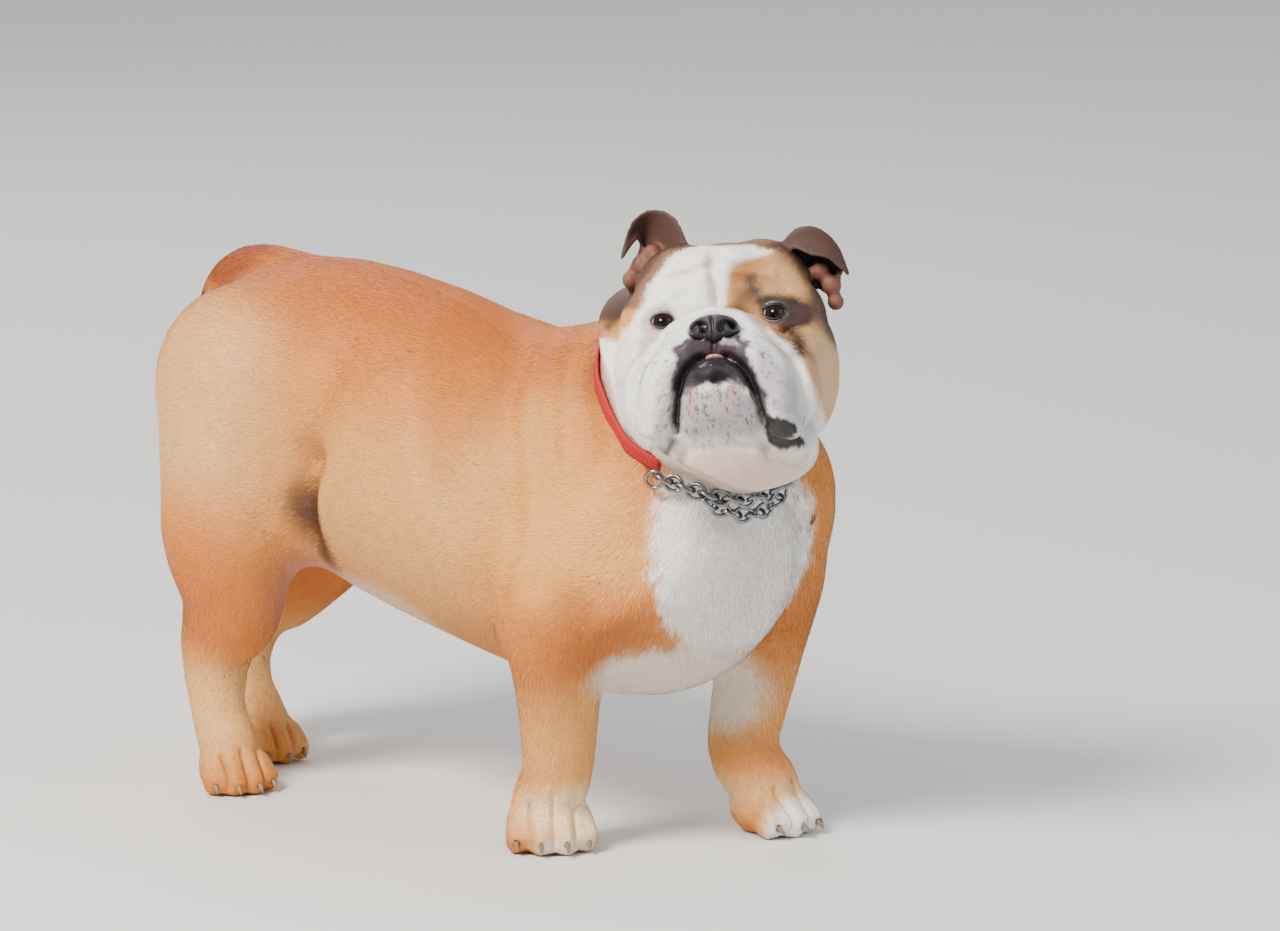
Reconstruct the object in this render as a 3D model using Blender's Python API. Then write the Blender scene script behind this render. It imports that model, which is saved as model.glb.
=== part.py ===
"""English bulldog, life size, standing with its head raised and turned to its right.

Metres, +Z up. The dog faces -Y, its right side is -X and its feet stand on Z = 0.
The flesh is blocked out from tubes and rounded masses, fused, smoothed and creased,
thinned to few faces and then parted into named pieces by thin cuts.
"""

import math

import bmesh
import bpy
import numpy as np
from mathutils import Euler, Matrix, Vector

# Driving sizes of the dog
HIP_TOP = 0.386
CHEST_FLOOR = 0.100
CHEST_HALF_WIDTH = 0.128
HEAD_WIDTH = 0.158
EYE_SPACING = 0.0787
EYE_DROP = 0.0045
EYE_RADIUS = 0.0115
EYE_SET_BACK = 0.0035
EYE_OPENING = (0.0155, 0.0120)
NOSE_OFF_CENTRE = 0.0015
FRONT_TOE_SIZE = 1.0
HIND_TOE_SIZE = 0.88
COLLAR_WIDTH = 0.015
COLLAR_THICKNESS = 0.0026
CHAIN_WIRE = 0.0015
CHAIN_LINKS = 15
CHAIN_SPAN = (-27, 36)
CHAIN_STAND_OFF = 0.0062
LINK_LENGTH = 0.0072
LINK_WIDTH = 0.0050
LINK_SEGMENTS = 14
LINK_SIDES = 8
BAND_SPAN = (40, 330)
# The collar's line: angles round from its lowest point, and distances from its centre
COLLAR_ANGLES = (-180, -150, -113, -75, -50, -25, -12, 0, 14, 33, 76, 110, 145, 180)
COLLAR_RADII = (
    0.074, 0.076, 0.077, 0.078, 0.090, 0.102, 0.111, 0.121, 0.118, 0.104, 0.092, 0.083,
    0.077, 0.074,
)
# How steeply the flesh may swell away from that line towards the head, by angle
HEAD_SLOPE_ANGLES = (-180, -75, -40, 0, 35, 76, 110, 180)
HEAD_SLOPES = (0.25, 0.25, 0.7, 0.9, 0.8, 0.8, 0.3, 0.25)
COLLAR_SINK = 0.0012
CINCH_SLOPE = 1.3
STROKE_REACH = 0.045

# The head's place: the point midway between the eyes, and how the face is turned
FACE = Vector((-0.045, -0.271, 0.3915))
FACE_YAW = math.radians(-58)
FACE_PITCH = math.radians(-24)
FACE_ROLL = math.radians(-6)

# The collar's plane; the cut behind the head follows it a little further up
COLLAR_CENTRE = Vector((0.018, -0.208, 0.330))
COLLAR_AXIS = Vector((-0.352, -0.468, 0.809)).normalized()
HEAD_CUT = COLLAR_CENTRE + COLLAR_AXIS * 0.011
NECK_CUT = Vector((0.0, -0.104, 0.345))
NECK_AXIS = Vector((-0.12, -0.62, 0.77)).normalized()

# Gaps and mesh sizes
GAP = 0.0003
SLAB = 1.6
WELD = 0.00002
BODY_VOXEL = 0.0042
HEAD_VOXEL = 0.0021
BODY_FACES = 3800
HEAD_FACES = 3200
CHAIN_FACES = 1100
EAR_FACES = 560
NOSE_FACES = 560


def head_frame():
    """The matrix that carries head coordinates (nose along -Y) into the dog's frame."""
    turn = Matrix.Rotation(FACE_YAW, 4, "Z") @ Matrix.Rotation(FACE_PITCH, 4, "X")
    return Matrix.Translation(FACE) @ turn @ Matrix.Rotation(FACE_ROLL, 4, "Y")


def collar_frame():
    """The matrix whose Z is the collar's axis and whose -Y points to its lowest front."""
    axis = COLLAR_AXIS
    front = -(Vector((0, 0, 1)) - axis * axis.z).normalized()
    side = (-front).cross(axis)
    turn = Matrix((side, -front, axis)).transposed().to_4x4()
    return Matrix.Translation(COLLAR_CENTRE) @ turn


HEAD = head_frame()
COLLAR = collar_frame()
BODY = Matrix.Identity(4)
MIRROR = Matrix.Diagonal((-1, 1, 1, 1))


def clear_scene():
    """Removes what the file opens with."""
    for obj in list(bpy.data.objects):
        bpy.data.objects.remove(obj)


def link(name, mesh):
    """A new object in the scene's collection."""
    obj = bpy.data.objects.new(name, mesh)
    bpy.context.scene.collection.objects.link(obj)
    return obj


def to_object(bm, name):
    """Turns the working mesh into an object with its faces facing out."""
    bmesh.ops.recalc_face_normals(bm, faces=bm.faces)
    mesh = bpy.data.meshes.new(name)
    bm.to_mesh(mesh)
    bm.free()
    return link(name, mesh)


def settle(obj):
    """Replaces the object's mesh by what its modifiers make of it."""
    graph = bpy.context.evaluated_depsgraph_get()
    mesh = bpy.data.meshes.new_from_object(obj.evaluated_get(graph))
    obj.modifiers.clear()
    obj.data = mesh


def copy_of(obj, name):
    """A second object with its own copy of the mesh."""
    twin = obj.copy()
    twin.data = obj.data.copy()
    twin.name = name
    bpy.context.scene.collection.objects.link(twin)
    return twin


def curve_through(rows, steps=8):
    """Rows of numbers on a smooth curve through the given rows."""
    rows = np.array(rows, float)
    padded = np.vstack([2 * rows[0] - rows[1], rows, 2 * rows[-1] - rows[-2]])
    found = []
    for i in range(1, len(padded) - 2):
        before, start, end, after = padded[i - 1 : i + 3]
        for t in np.arange(steps) / steps:
            found.append(
                0.5
                * (
                    2 * start
                    + (end - before) * t
                    + (2 * before - 5 * start + 4 * end - after) * t**2
                    + (3 * start - before - 3 * end + after) * t**3
                )
            )
    found.append(rows[-1])
    return np.array(found)


def ball(bm, frame, centre, radii, turn=(0, 0, 0), detail=4):
    """A rounded mass: an ellipsoid with these radii, turned by degrees about X, Y and Z."""
    spin = Euler([math.radians(a) for a in turn]).to_matrix().to_4x4()
    size = Matrix.Diagonal((*radii, 1))
    place = frame @ Matrix.Translation(centre) @ spin @ size
    bmesh.ops.create_icosphere(bm, subdivisions=detail, radius=1, matrix=place)


def tube(bm, frame, rows, sides=20, steps=6):
    """A tapered tube through rows of (x, y, z, half width, half height)."""
    path = curve_through([r if len(r) == 5 else (*r, r[3]) for r in rows], steps)
    rings = []
    side = None
    for i, row in enumerate(path):
        ahead = Vector(path[min(i + 1, len(path) - 1)][:3])
        behind = Vector(path[max(i - 1, 0)][:3])
        along = (ahead - behind).normalized()
        if side is None:
            side = Vector((1, 0, 0)) if abs(along.x) < 0.8 else Vector((0, 1, 0))
        side = (side - along * along.dot(side)).normalized()
        over = side.cross(along)
        ring = []
        for k in range(sides):
            a = 2 * math.pi * k / sides
            offset = side * math.cos(a) * row[3] + over * math.sin(a) * row[4]
            ring.append(bm.verts.new(frame @ (Vector(row[:3]) + offset)))
        rings.append(ring)
    for low, high in zip(rings, rings[1:]):
        for k in range(sides):
            j = (k + 1) % sides
            bm.faces.new((low[k], low[j], high[j], high[k]))
    bm.faces.new(list(reversed(rings[0])))
    bm.faces.new(rings[-1])


def pair(maker, bm, frame, *rest, **more):
    """Makes a shape on the left (+X) and its mirror image on the right."""
    maker(bm, frame, *rest, **more)
    maker(bm, frame @ MIRROR, *rest, **more)


def block_torso(bm):
    """Chest, ribs, loin and rump as one long tube, with the muscle masses on it."""
    half = CHEST_HALF_WIDTH
    rows = [
        # x, y, top, bottom, half width
        (0.000, 0.234, 0.332, 0.238, half * 0.40),
        (0.000, 0.208, 0.370, 0.194, half * 0.64),
        (0.000, 0.150, HIP_TOP, 0.166, half * 0.78),
        (0.000, 0.085, 0.382, 0.154, half * 0.84),
        (0.000, 0.020, 0.368, 0.136, half * 0.95),
        (0.000, -0.045, 0.354, 0.121, half * 1.01),
        (-0.003, -0.105, 0.345, 0.108, half * 0.99),
        (-0.009, -0.165, 0.334, CHEST_FLOOR, half * 0.92),
        (-0.018, -0.220, 0.312, 0.108, half * 0.80),
        (-0.026, -0.256, 0.270, 0.148, half * 0.52),
    ]
    spine = [(x, y, (t + b) / 2, w, (t - b) / 2) for x, y, t, b, w in rows]
    tube(bm, BODY, spine, sides=32)
    ball(bm, BODY, (-0.018, -0.206, 0.218), (0.092, 0.064, 0.082), (-14, 0, 0))


def block_neck(bm):
    """The short thick neck from the withers up to the back of the skull."""
    rows = [
        (0.000, -0.060, 0.250, 0.098, 0.086),
        (0.002, -0.118, 0.272, 0.102, 0.096),
        (0.005, -0.166, 0.302, 0.094, 0.092),
        (0.010, -0.208, 0.332, 0.085, 0.081),
        (0.002, -0.240, 0.358, 0.070, 0.066),
    ]
    tube(bm, BODY, rows, sides=28)
    pair(ball, bm, BODY, (0.046, -0.100, 0.290), (0.050, 0.080, 0.060), (20, 20, 0))


# Where each toe's knuckle and tip stand in a paw: across and ahead
TOES = ((-0.023, -0.015), (-0.0085, -0.026), (0.0085, -0.026), (0.023, -0.015))


def paw_frame(foot, toe_turn, size):
    """The frame of a paw on the floor, turned about Z by degrees."""
    turn = Matrix.Rotation(math.radians(toe_turn), 4, "Z")
    return Matrix.Translation((foot[0], foot[1], 0)) @ turn @ Matrix.Scale(size, 4)


def block_paw(bm, frame):
    """A compact paw of four arched toes on a pad."""
    ball(bm, frame, (0, 0.004, 0.016), (0.026, 0.026, 0.019))
    for across, ahead in TOES:
        ball(bm, frame, (across, ahead + 0.012, 0.019), (0.0095, 0.018, 0.013))
        ball(bm, frame, (across * 1.12, ahead, 0.011), (0.0092, 0.0125, 0.0125))


def block_front_leg(bm, side, joints, shoulder):
    """One front leg: shoulder and upper arm masses, then the forearm down to the paw."""
    elbow, knee, pastern, paw = (Vector(p) for p in joints)
    ball(bm, BODY, shoulder, (0.046, 0.060, 0.078), (14, side * 8, 0))
    ball(bm, BODY, (elbow.x, elbow.y + 0.022, elbow.z + 0.018), (0.030, 0.030, 0.036))
    rows = [
        (shoulder[0], shoulder[1] + 0.004, shoulder[2] - 0.010, 0.044, 0.054),
        (elbow.x, elbow.y - 0.002, elbow.z + 0.030, 0.041, 0.047),
        (elbow.x, elbow.y, elbow.z, 0.0355, 0.0375),
        (knee.x, knee.y, knee.z, 0.0285, 0.0305),
        (pastern.x, pastern.y, pastern.z, 0.0250, 0.0265),
        (paw.x, paw.y + 0.004, 0.034, 0.0245, 0.0255),
        (paw.x, paw.y + 0.002, 0.016, 0.0255, 0.0250),
    ]
    tube(bm, BODY, rows)


def block_hind_leg(bm, side, joints):
    """One hind leg: rump and thigh masses, second thigh, hock, rear pastern and paw."""
    knee, calf, heel, shank, paw = (Vector(p) for p in joints)
    hip = Vector((side * 0.054, 0.160, 0.286))
    ball(bm, BODY, hip, (0.060, 0.082, 0.086), (0, side * 6, 0))
    thigh = (knee + hip) / 2 + Vector((side * 0.004, 0.000, -0.004))
    ball(bm, BODY, thigh, (0.048, 0.064, 0.092), (-10, side * 4, 0))
    rows = [
        (thigh.x, thigh.y + 0.002, thigh.z, 0.043, 0.062),
        (knee.x, knee.y + 0.003, knee.z, 0.041, 0.056),
        (calf.x, calf.y, calf.z, 0.033, 0.043),
        (heel.x, heel.y, heel.z, 0.0245, 0.0300),
        (shank.x, shank.y, shank.z, 0.0200, 0.0220),
        (paw.x * 0.7 + shank.x * 0.3, paw.y * 0.7 + shank.y * 0.3, 0.028, 0.0210, 0.0230),
        (paw.x, paw.y + 0.006, 0.014, 0.024, 0.022),
    ]
    tube(bm, BODY, rows)
    ball(bm, BODY, (heel.x, heel.y + 0.018, heel.z + 0.006), (0.014, 0.014, 0.022))


# Each leg's joints from the body down, the last one the middle of the paw
LEGS = {
    "front_right": (
        ((-0.104, -0.172, 0.150), (-0.091, -0.163, 0.100), (-0.087, -0.158, 0.055)),
        (-0.088, -0.152, 0),
        -44,
    ),
    "front_left": (
        ((0.088, -0.205, 0.150), (0.072, -0.206, 0.098), (0.058, -0.209, 0.055)),
        (0.057, -0.234, 0),
        8,
    ),
    "hind_right": (
        (
            (-0.082, 0.158, 0.185),
            (-0.074, 0.163, 0.137),
            (-0.072, 0.180, 0.100),
            (-0.075, 0.177, 0.060),
        ),
        (-0.081, 0.156, 0),
        -26,
    ),
    "hind_left": (
        (
            (0.070, 0.188, 0.185),
            (0.058, 0.232, 0.130),
            (0.046, 0.256, 0.098),
            (0.033, 0.250, 0.056),
        ),
        (0.017, 0.213, 0),
        -30,
    ),
}
SHOULDERS = {"front_right": (-0.098, -0.188, 0.222), "front_left": (0.088, -0.200, 0.222)}


def leg_paw(name):
    """The frame of this leg's paw."""
    _, foot, turn = LEGS[name]
    return paw_frame(foot, turn, FRONT_TOE_SIZE if "front" in name else HIND_TOE_SIZE)


def block_leg(bm, name):
    """Any one leg with its paw."""
    joints, foot, _ = LEGS[name]
    side = 1 if name.endswith("left") else -1
    if name in SHOULDERS:
        block_front_leg(bm, side, (*joints, foot), SHOULDERS[name])
    else:
        block_hind_leg(bm, side, (*joints, foot))
    block_paw(bm, leg_paw(name))


TAIL = [
    (0.000, 0.150, 0.358, 0.026),
    (0.000, 0.186, 0.368, 0.024),
    (0.000, 0.214, 0.368, 0.0205),
    (0.000, 0.236, 0.356, 0.0160),
    (0.000, 0.250, 0.338, 0.0115),
    (0.001, 0.256, 0.318, 0.0070),
]


def block_head(bm):
    """Skull, cheeks, brows, short muzzle, nose roll, hanging lips, chin and throat."""
    wide = HEAD_WIDTH / 2
    ball(bm, HEAD, (0, 0.052, 0.004), (wide * 0.86, 0.064, 0.053))
    ball(bm, HEAD, (0, 0.026, 0.020), (0.054, 0.040, 0.036))
    pair(ball, bm, HEAD, (0.027, 0.038, 0.026), (0.036, 0.042, 0.034))
    pair(ball, bm, HEAD, (wide - 0.036, 0.040, -0.034), (0.036, 0.048, 0.056))
    pair(ball, bm, HEAD, (0.030, 0.015, 0.018), (0.032, 0.025, 0.025), (0, 16, 14))
    pair(ball, bm, HEAD, (0.044, 0.024, -0.004), (0.030, 0.030, 0.034))
    pair(ball, bm, HEAD, (0.046, 0.016, -0.030), (0.031, 0.029, 0.028))
    ball(bm, HEAD, (0, -0.020, -0.035), (0.044, 0.034, 0.026))
    ball(bm, HEAD, (0.001, -0.044, -0.026), (0.0180, 0.013, 0.0120))
    roll = [
        (0.058, 0.004, -0.070, 0.012),
        (0.053, -0.006, -0.054, 0.0115),
        (0.042, -0.019, -0.035, 0.0105),
        (0.024, -0.032, -0.020, 0.0098),
        (0.001, -0.037, -0.0145, 0.0095),
        (-0.024, -0.032, -0.020, 0.0098),
        (-0.042, -0.019, -0.035, 0.0105),
        (-0.053, -0.006, -0.054, 0.0115),
        (-0.058, 0.004, -0.070, 0.012),
    ]
    tube(bm, HEAD, roll, sides=14)
    for side, hang in ((1, 0.006), (-1, -0.003)):
        flew = [
            (side * 0.010, -0.044, -0.034, 0.012, 0.012),
            (side * 0.024, -0.042, -0.043, 0.016, 0.015),
            (side * 0.036, -0.034, -0.058, 0.018, 0.019),
            (side * 0.043, -0.026, -0.076 - hang, 0.0165, 0.018),
            (side * 0.045, -0.022, -0.088 - hang, 0.0120, 0.0135),
            (side * 0.044, -0.021, -0.096 - hang, 0.0060, 0.0070),
        ]
        tube(bm, HEAD, flew, sides=16)
        ball(bm, HEAD, (side * 0.042, -0.010, -0.060), (0.028, 0.030, 0.034))
    ball(bm, HEAD, (0, -0.026, -0.066), (0.032, 0.028, 0.026))
    lip = [
        (-0.020, -0.046, -0.060, 0.0060),
        (-0.012, -0.054, -0.054, 0.0062),
        (0.000, -0.057, -0.052, 0.0064),
        (0.012, -0.054, -0.054, 0.0062),
        (0.020, -0.046, -0.060, 0.0060),
    ]
    tube(bm, HEAD, lip, sides=12)
    ball(bm, HEAD, (0, 0.006, -0.076), (0.056, 0.048, 0.034))
    ball(bm, HEAD, (0.003, 0.030, -0.092), (0.060, 0.052, 0.038))


def block_out(with_body=True):
    """The flesh in one mesh of overlapping closed shells."""
    bm = bmesh.new()
    block_torso(bm)
    block_neck(bm)
    block_head(bm)
    if with_body:
        for name in LEGS:
            block_leg(bm, name)
        tube(bm, BODY, TAIL, sides=14)
    return to_object(bm, "flesh")


def fuse(obj, voxel, passes, trunk_passes=0):
    """Fuses the shells into one skin and softens where they meet, the trunk more."""
    remesh = obj.modifiers.new("fuse", "REMESH")
    remesh.mode = "VOXEL"
    remesh.voxel_size = voxel
    settle(obj)
    soften(obj, passes)
    if trunk_passes:
        trunk = obj.vertex_groups.new(name="trunk")
        for vertex in obj.data.vertices:
            high = (vertex.co.z - 0.105) / 0.06
            behind = (0.275 - vertex.co.y) / 0.05
            trunk.add([vertex.index], min(max(min(high, behind), 0), 1), "REPLACE")
        soften(obj, trunk_passes, "trunk")
        obj.vertex_groups.clear()


def soften(obj, passes, group=""):
    """Smooths the mesh, where a group is named only by its weights."""
    modifier = obj.modifiers.new("soften", "SMOOTH")
    modifier.factor = 0.5
    modifier.iterations = passes
    modifier.vertex_group = group
    settle(obj)


def thin_out(obj, faces):
    """Collapses edges until about this many triangles are left."""
    modifier = obj.modifiers.new("thin", "DECIMATE")
    triangles = sum(len(p.vertices) - 2 for p in obj.data.polygons)
    modifier.ratio = min(1, faces / triangles)
    modifier.use_collapse_triangulate = True
    settle(obj)


def keep_side(obj, point, normal):
    """Cuts the mesh by a plane and keeps the side that the normal points to."""
    bm = bmesh.new()
    turn = normal.to_track_quat("Z", "Y").to_matrix().to_4x4()
    place = Matrix.Translation(point - normal * SLAB / 2) @ turn
    bmesh.ops.create_cube(bm, size=SLAB, matrix=place)
    slab = to_object(bm, "slab")
    combine(obj, slab, "DIFFERENCE")
    bpy.data.objects.remove(slab)


def keep_largest(obj):
    """Keeps only the largest closed surface of the mesh."""
    bm = bmesh.new()
    bm.from_mesh(obj.data)
    left = set(bm.verts)
    shells = []
    while left:
        shell = {left.pop()}
        front = list(shell)
        while front:
            for edge in front.pop().link_edges:
                for vertex in edge.verts:
                    if vertex in left:
                        left.discard(vertex)
                        shell.add(vertex)
                        front.append(vertex)
        shells.append(shell)
    biggest = max(shells, key=len)
    spare = [v for shell in shells if shell is not biggest for v in shell]
    bmesh.ops.delete(bm, geom=spare, context="VERTS")
    bmesh.ops.remove_doubles(bm, verts=bm.verts, dist=WELD)
    bmesh.ops.dissolve_degenerate(bm, edges=bm.edges, dist=WELD)
    bmesh.ops.triangulate(bm, faces=bm.faces)
    bm.to_mesh(obj.data)
    bm.free()


def combine(obj, other, operation):
    """Cuts the object by the other (DIFFERENCE), or keeps what they share (INTERSECT)."""
    modifier = obj.modifiers.new("combine", "BOOLEAN")
    modifier.operation = operation
    modifier.solver = "EXACT"
    modifier.object = other
    settle(obj)
    keep_largest(obj)


def grown(obj, by):
    """A copy of the object, swollen by this much, to cut its own room out of another."""
    cutter = copy_of(obj, obj.name + "_room")
    swell = cutter.modifiers.new("swell", "DISPLACE")
    swell.mid_level = 0
    swell.strength = by
    settle(cutter)
    return cutter


def cut_room(obj, other, by=GAP * 1.3):
    """Cuts the other object's shape, with a gap all round, out of this one."""
    cutter = grown(other, by)
    combine(obj, cutter, "DIFFERENCE")
    bpy.data.objects.remove(cutter)


def part_off(obj, rows, name, sides=14):
    """Parts a piece off along an upright tube of rows, leaving a thin gap."""
    bm = bmesh.new()
    tube(bm, BODY, rows, sides=sides, steps=2)
    cutter = to_object(bm, name + "_cutter")
    piece = copy_of(obj, name)
    combine(piece, cutter, "INTERSECT")
    cut_room(obj, cutter)
    bpy.data.objects.remove(cutter)
    return piece


def smooth_between(angle, angles, values):
    """The value at this angle on a smooth curve through the given ones."""
    line = curve_through(list(zip(angles, values)))
    return np.interp(angle, line[:, 0], line[:, 1])


def collar_radius(angle):
    """How far the collar's line lies from its centre, round from its lowest point."""
    return smooth_between(angle, COLLAR_ANGLES, COLLAR_RADII)


class Clay:
    """A mesh's points and normals, held while folds and hollows are worked into them."""

    def __init__(self, obj):
        self.mesh = obj.data
        count = len(self.mesh.vertices)
        self.points = np.empty(count * 3, np.float32)
        self.mesh.vertices.foreach_get("co", self.points)
        self.points = self.points.reshape(-1, 3).astype(float)
        normals = np.empty(count * 3, np.float32)
        self.mesh.vertices.foreach_get("normal", normals)
        self.normals = normals.reshape(-1, 3).astype(float)

    def stroke(self, frame, rows, width, depth, both=False, push=(0, -1, 0)):
        """Raises (depth > 0) or sinks the surface along a curve, fading over width.

        The curve is laid on the surface along push, so its own depth need not be exact.
        """
        for side in (1, -1) if both else (1,):
            path = curve_through([(x * side, y, z) for x, y, z in rows])
            path = np.array([frame @ Vector(p) for p in path])
            way = frame.to_3x3() @ Vector((push[0] * side, *push[1:]))
            way = np.array(way.normalized())
            facing = self.normals @ way
            low, high = path.min(0) - STROKE_REACH, path.max(0) + STROKE_REACH
            inside = np.all((self.points > low) & (self.points < high), axis=1)
            near = np.where(inside & (facing > 0))[0]
            if not len(near):
                continue
            flat = self.points - np.outer(self.points @ way, way)
            path = path - np.outer(path @ way, way)
            gaps = flat[near][:, None, :] - path[None, :-1, :]
            steps = path[1:] - path[:-1]
            t = (gaps * steps).sum(2) / np.maximum((steps**2).sum(1), 1e-12)
            foot = path[:-1] + steps * np.clip(t, 0, 1)[..., None]
            away = np.linalg.norm(flat[near][:, None, :] - foot, axis=2).min(1)
            fade = np.exp(-((away / width) ** 2)) * np.minimum(facing[near] * 3, 1)
            self.points[near] += way * (fade * depth)[:, None]

    def cinch(self):
        """Draws the neck in to the collar's line, from both sides of its plane."""
        inverse = np.array(COLLAR.inverted())
        local = self.points @ inverse[:3, :3].T + inverse[:3, 3]
        angle = np.degrees(np.arctan2(local[:, 0], -local[:, 1]))
        radius = np.hypot(local[:, 0], local[:, 1])
        line = collar_radius(angle) - COLLAR_SINK
        head_slope = smooth_between(angle, HEAD_SLOPE_ANGLES, HEAD_SLOPES)
        slope = np.where(local[:, 2] > 0, head_slope, CINCH_SLOPE)
        bound = line + slope * np.maximum(np.abs(local[:, 2]) - COLLAR_WIDTH * 0.45, 0)
        over = np.maximum(radius - bound, 0)
        near = (local[:, 2] < 0.05) & (local[:, 2] > -0.10) & (radius < 0.20) & (radius > 1e-4)
        over *= np.clip((local[:, 2] + 0.10) / 0.05, 0, 1)
        scale = np.where(near, (radius - over) / np.maximum(radius, 1e-6), 1.0)
        local[:, :2] *= scale[:, None]
        forward = np.array(COLLAR)
        self.points = local @ forward[:3, :3].T + forward[:3, 3]

    def store(self):
        """Writes the points back."""
        self.mesh.vertices.foreach_set("co", self.points.astype(np.float32).ravel())
        self.mesh.update()


def crease_face(clay):
    """The folds of the face: stop, nose roll, lips, mouth, brows, lids and cheeks."""
    furrow = [(0, 0, 0.008), (0, 0, 0.030), (0, 0, 0.050)]
    clay.stroke(HEAD, furrow, 0.005, -0.0030)
    over_roll = [
        (0.000, 0, -0.0020),
        (0.018, 0, -0.0060),
        (0.031, 0, -0.0190),
        (0.047, 0, -0.0390),
        (0.058, 0, -0.0600),
        (0.062, 0, -0.0820),
    ]
    clay.stroke(HEAD, over_roll, 0.0042, -0.0050, both=True)
    ridge = [(0.000, 0, -0.011), (0.022, 0, -0.016), (0.040, 0, -0.033), (0.052, 0, -0.056)]
    clay.stroke(HEAD, ridge, 0.0050, 0.0022, both=True)
    under_roll = [(0.000, 0, -0.016), (0.014, 0, -0.017), (0.021, 0, -0.024), (0.023, 0, -0.034)]
    clay.stroke(HEAD, under_roll, 0.0030, -0.0034, both=True)
    mouth = [
        (0.000, 0, -0.0455),
        (0.010, 0, -0.0470),
        (0.021, 0, -0.0560),
        (0.027, 0, -0.0700),
        (0.031, 0, -0.0900),
    ]
    clay.stroke(HEAD, mouth, 0.0026, -0.0085, both=True)
    clay.stroke(HEAD, [(0.001, 0, -0.033), (0, 0, -0.044)], 0.0022, -0.0036)
    under_lip = [(0.000, 0, -0.0610), (0.010, 0, -0.0620), (0.018, 0, -0.0680)]
    clay.stroke(HEAD, under_lip, 0.0030, -0.0026, both=True)
    lid = [
        (0.0290, 0, -0.0055),
        (0.0335, 0, 0.0020),
        (0.0405, 0, 0.0040),
        (0.0495, 0, -0.0025),
        (0.0470, 0, -0.0105),
        (0.0395, 0, -0.0130),
        (0.0330, 0, -0.0107),
        (0.0290, 0, -0.0055),
    ]
    clay.stroke(HEAD, lid, 0.0028, 0.0022, both=True)
    brow = [(0.012, 0, 0.018), (0.028, 0, 0.020), (0.046, 0, 0.013)]
    clay.stroke(HEAD, brow, 0.0045, -0.0022, both=True)
    pouch = [(0.036, 0, -0.019), (0.046, 0, -0.022), (0.056, 0, -0.017)]
    clay.stroke(HEAD, pouch, 0.0040, -0.0022, both=True)
    cheek = [(0.068, 0, 0.000), (0.073, 0, -0.034), (0.070, 0, -0.066)]
    clay.stroke(HEAD, cheek, 0.0060, -0.0030, both=True)


def crease_body(clay):
    """The hollow between the front legs."""
    clay.stroke(BODY, [(-0.004, 0, 0.13), (-0.008, 0, 0.18), (-0.012, 0, 0.24)], 0.014, -0.006)


def eye_cutter(side):
    """An almond prism that opens the lids in front of the eyeball."""
    bm = bmesh.new()
    wide, high = EYE_OPENING[0] / 2, EYE_OPENING[1] / 2
    rings = []
    for y, size in ((-0.030, 1.5), (-0.004, 0.98), (0.004, 0.80)):
        ring = []
        for k in range(16):
            a = 2 * math.pi * k / 16
            x = side * EYE_SPACING / 2 + math.cos(a) * wide * size
            z = math.copysign(abs(math.sin(a)) ** 1.2, math.sin(a)) * high * size - EYE_DROP
            ring.append(bm.verts.new(HEAD @ Vector((x, y, z))))
        rings.append(ring)
    for near, far in zip(rings, rings[1:]):
        for k in range(16):
            j = (k + 1) % 16
            bm.faces.new((near[k], near[j], far[j], far[k]))
    bm.faces.new(rings[0])
    bm.faces.new(rings[-1])
    return to_object(bm, "lid_cutter")


def make_eye(head, name, side):
    """An eyeball, sunk in the head behind an almond opening between the lids."""
    bm = bmesh.new()
    place = HEAD @ Matrix.Translation((side * EYE_SPACING / 2, EYE_SET_BACK, -EYE_DROP))
    turned = place @ Matrix.Rotation(math.radians(90), 4, "X")
    bmesh.ops.create_uvsphere(
        bm, u_segments=18, v_segments=11, radius=EYE_RADIUS, matrix=turned
    )
    eye = to_object(bm, name)
    opening = eye_cutter(side)
    combine(head, opening, "DIFFERENCE")
    bpy.data.objects.remove(opening)
    cut_room(head, eye)
    return eye


def make_nose(head):
    """The broad nose pad with its two nostrils and the cleft between them."""
    bm = bmesh.new()
    middle = HEAD @ Matrix.Translation((NOSE_OFF_CENTRE, 0, 0))
    ball(bm, middle, (0, -0.0500, -0.0235), (0.0165, 0.0120, 0.0078))
    pair(ball, bm, middle, (0.0098, -0.0500, -0.0258), (0.0080, 0.0120, 0.0074))
    ball(bm, middle, (0, -0.0515, -0.0285), (0.0080, 0.0110, 0.0062))
    nose = to_object(bm, "nose")
    fuse(nose, 0.0011, 4)
    clay = Clay(nose)
    nostril = [(0.0066, 0, -0.0268), (0.0082, 0, -0.0246), (0.0108, 0, -0.0246), (0.0138, 0, -0.0262)]
    clay.stroke(middle, nostril, 0.0020, -0.0070, both=True)
    clay.stroke(middle, [(0, -0.059, -0.018), (0, -0.059, -0.034)], 0.0013, -0.0018)
    clay.store()
    thin_out(nose, NOSE_FACES)
    keep_largest(nose)
    cut_room(head, nose)
    return nose


def make_tongue(head):
    """The bit of tongue that shows between the lips."""
    bm = bmesh.new()
    ball(bm, HEAD, (0.001, -0.0500, -0.0470), (0.0065, 0.0090, 0.0024), detail=2)
    tongue = to_object(bm, "tongue")
    cut_room(head, tongue)
    return tongue


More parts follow.
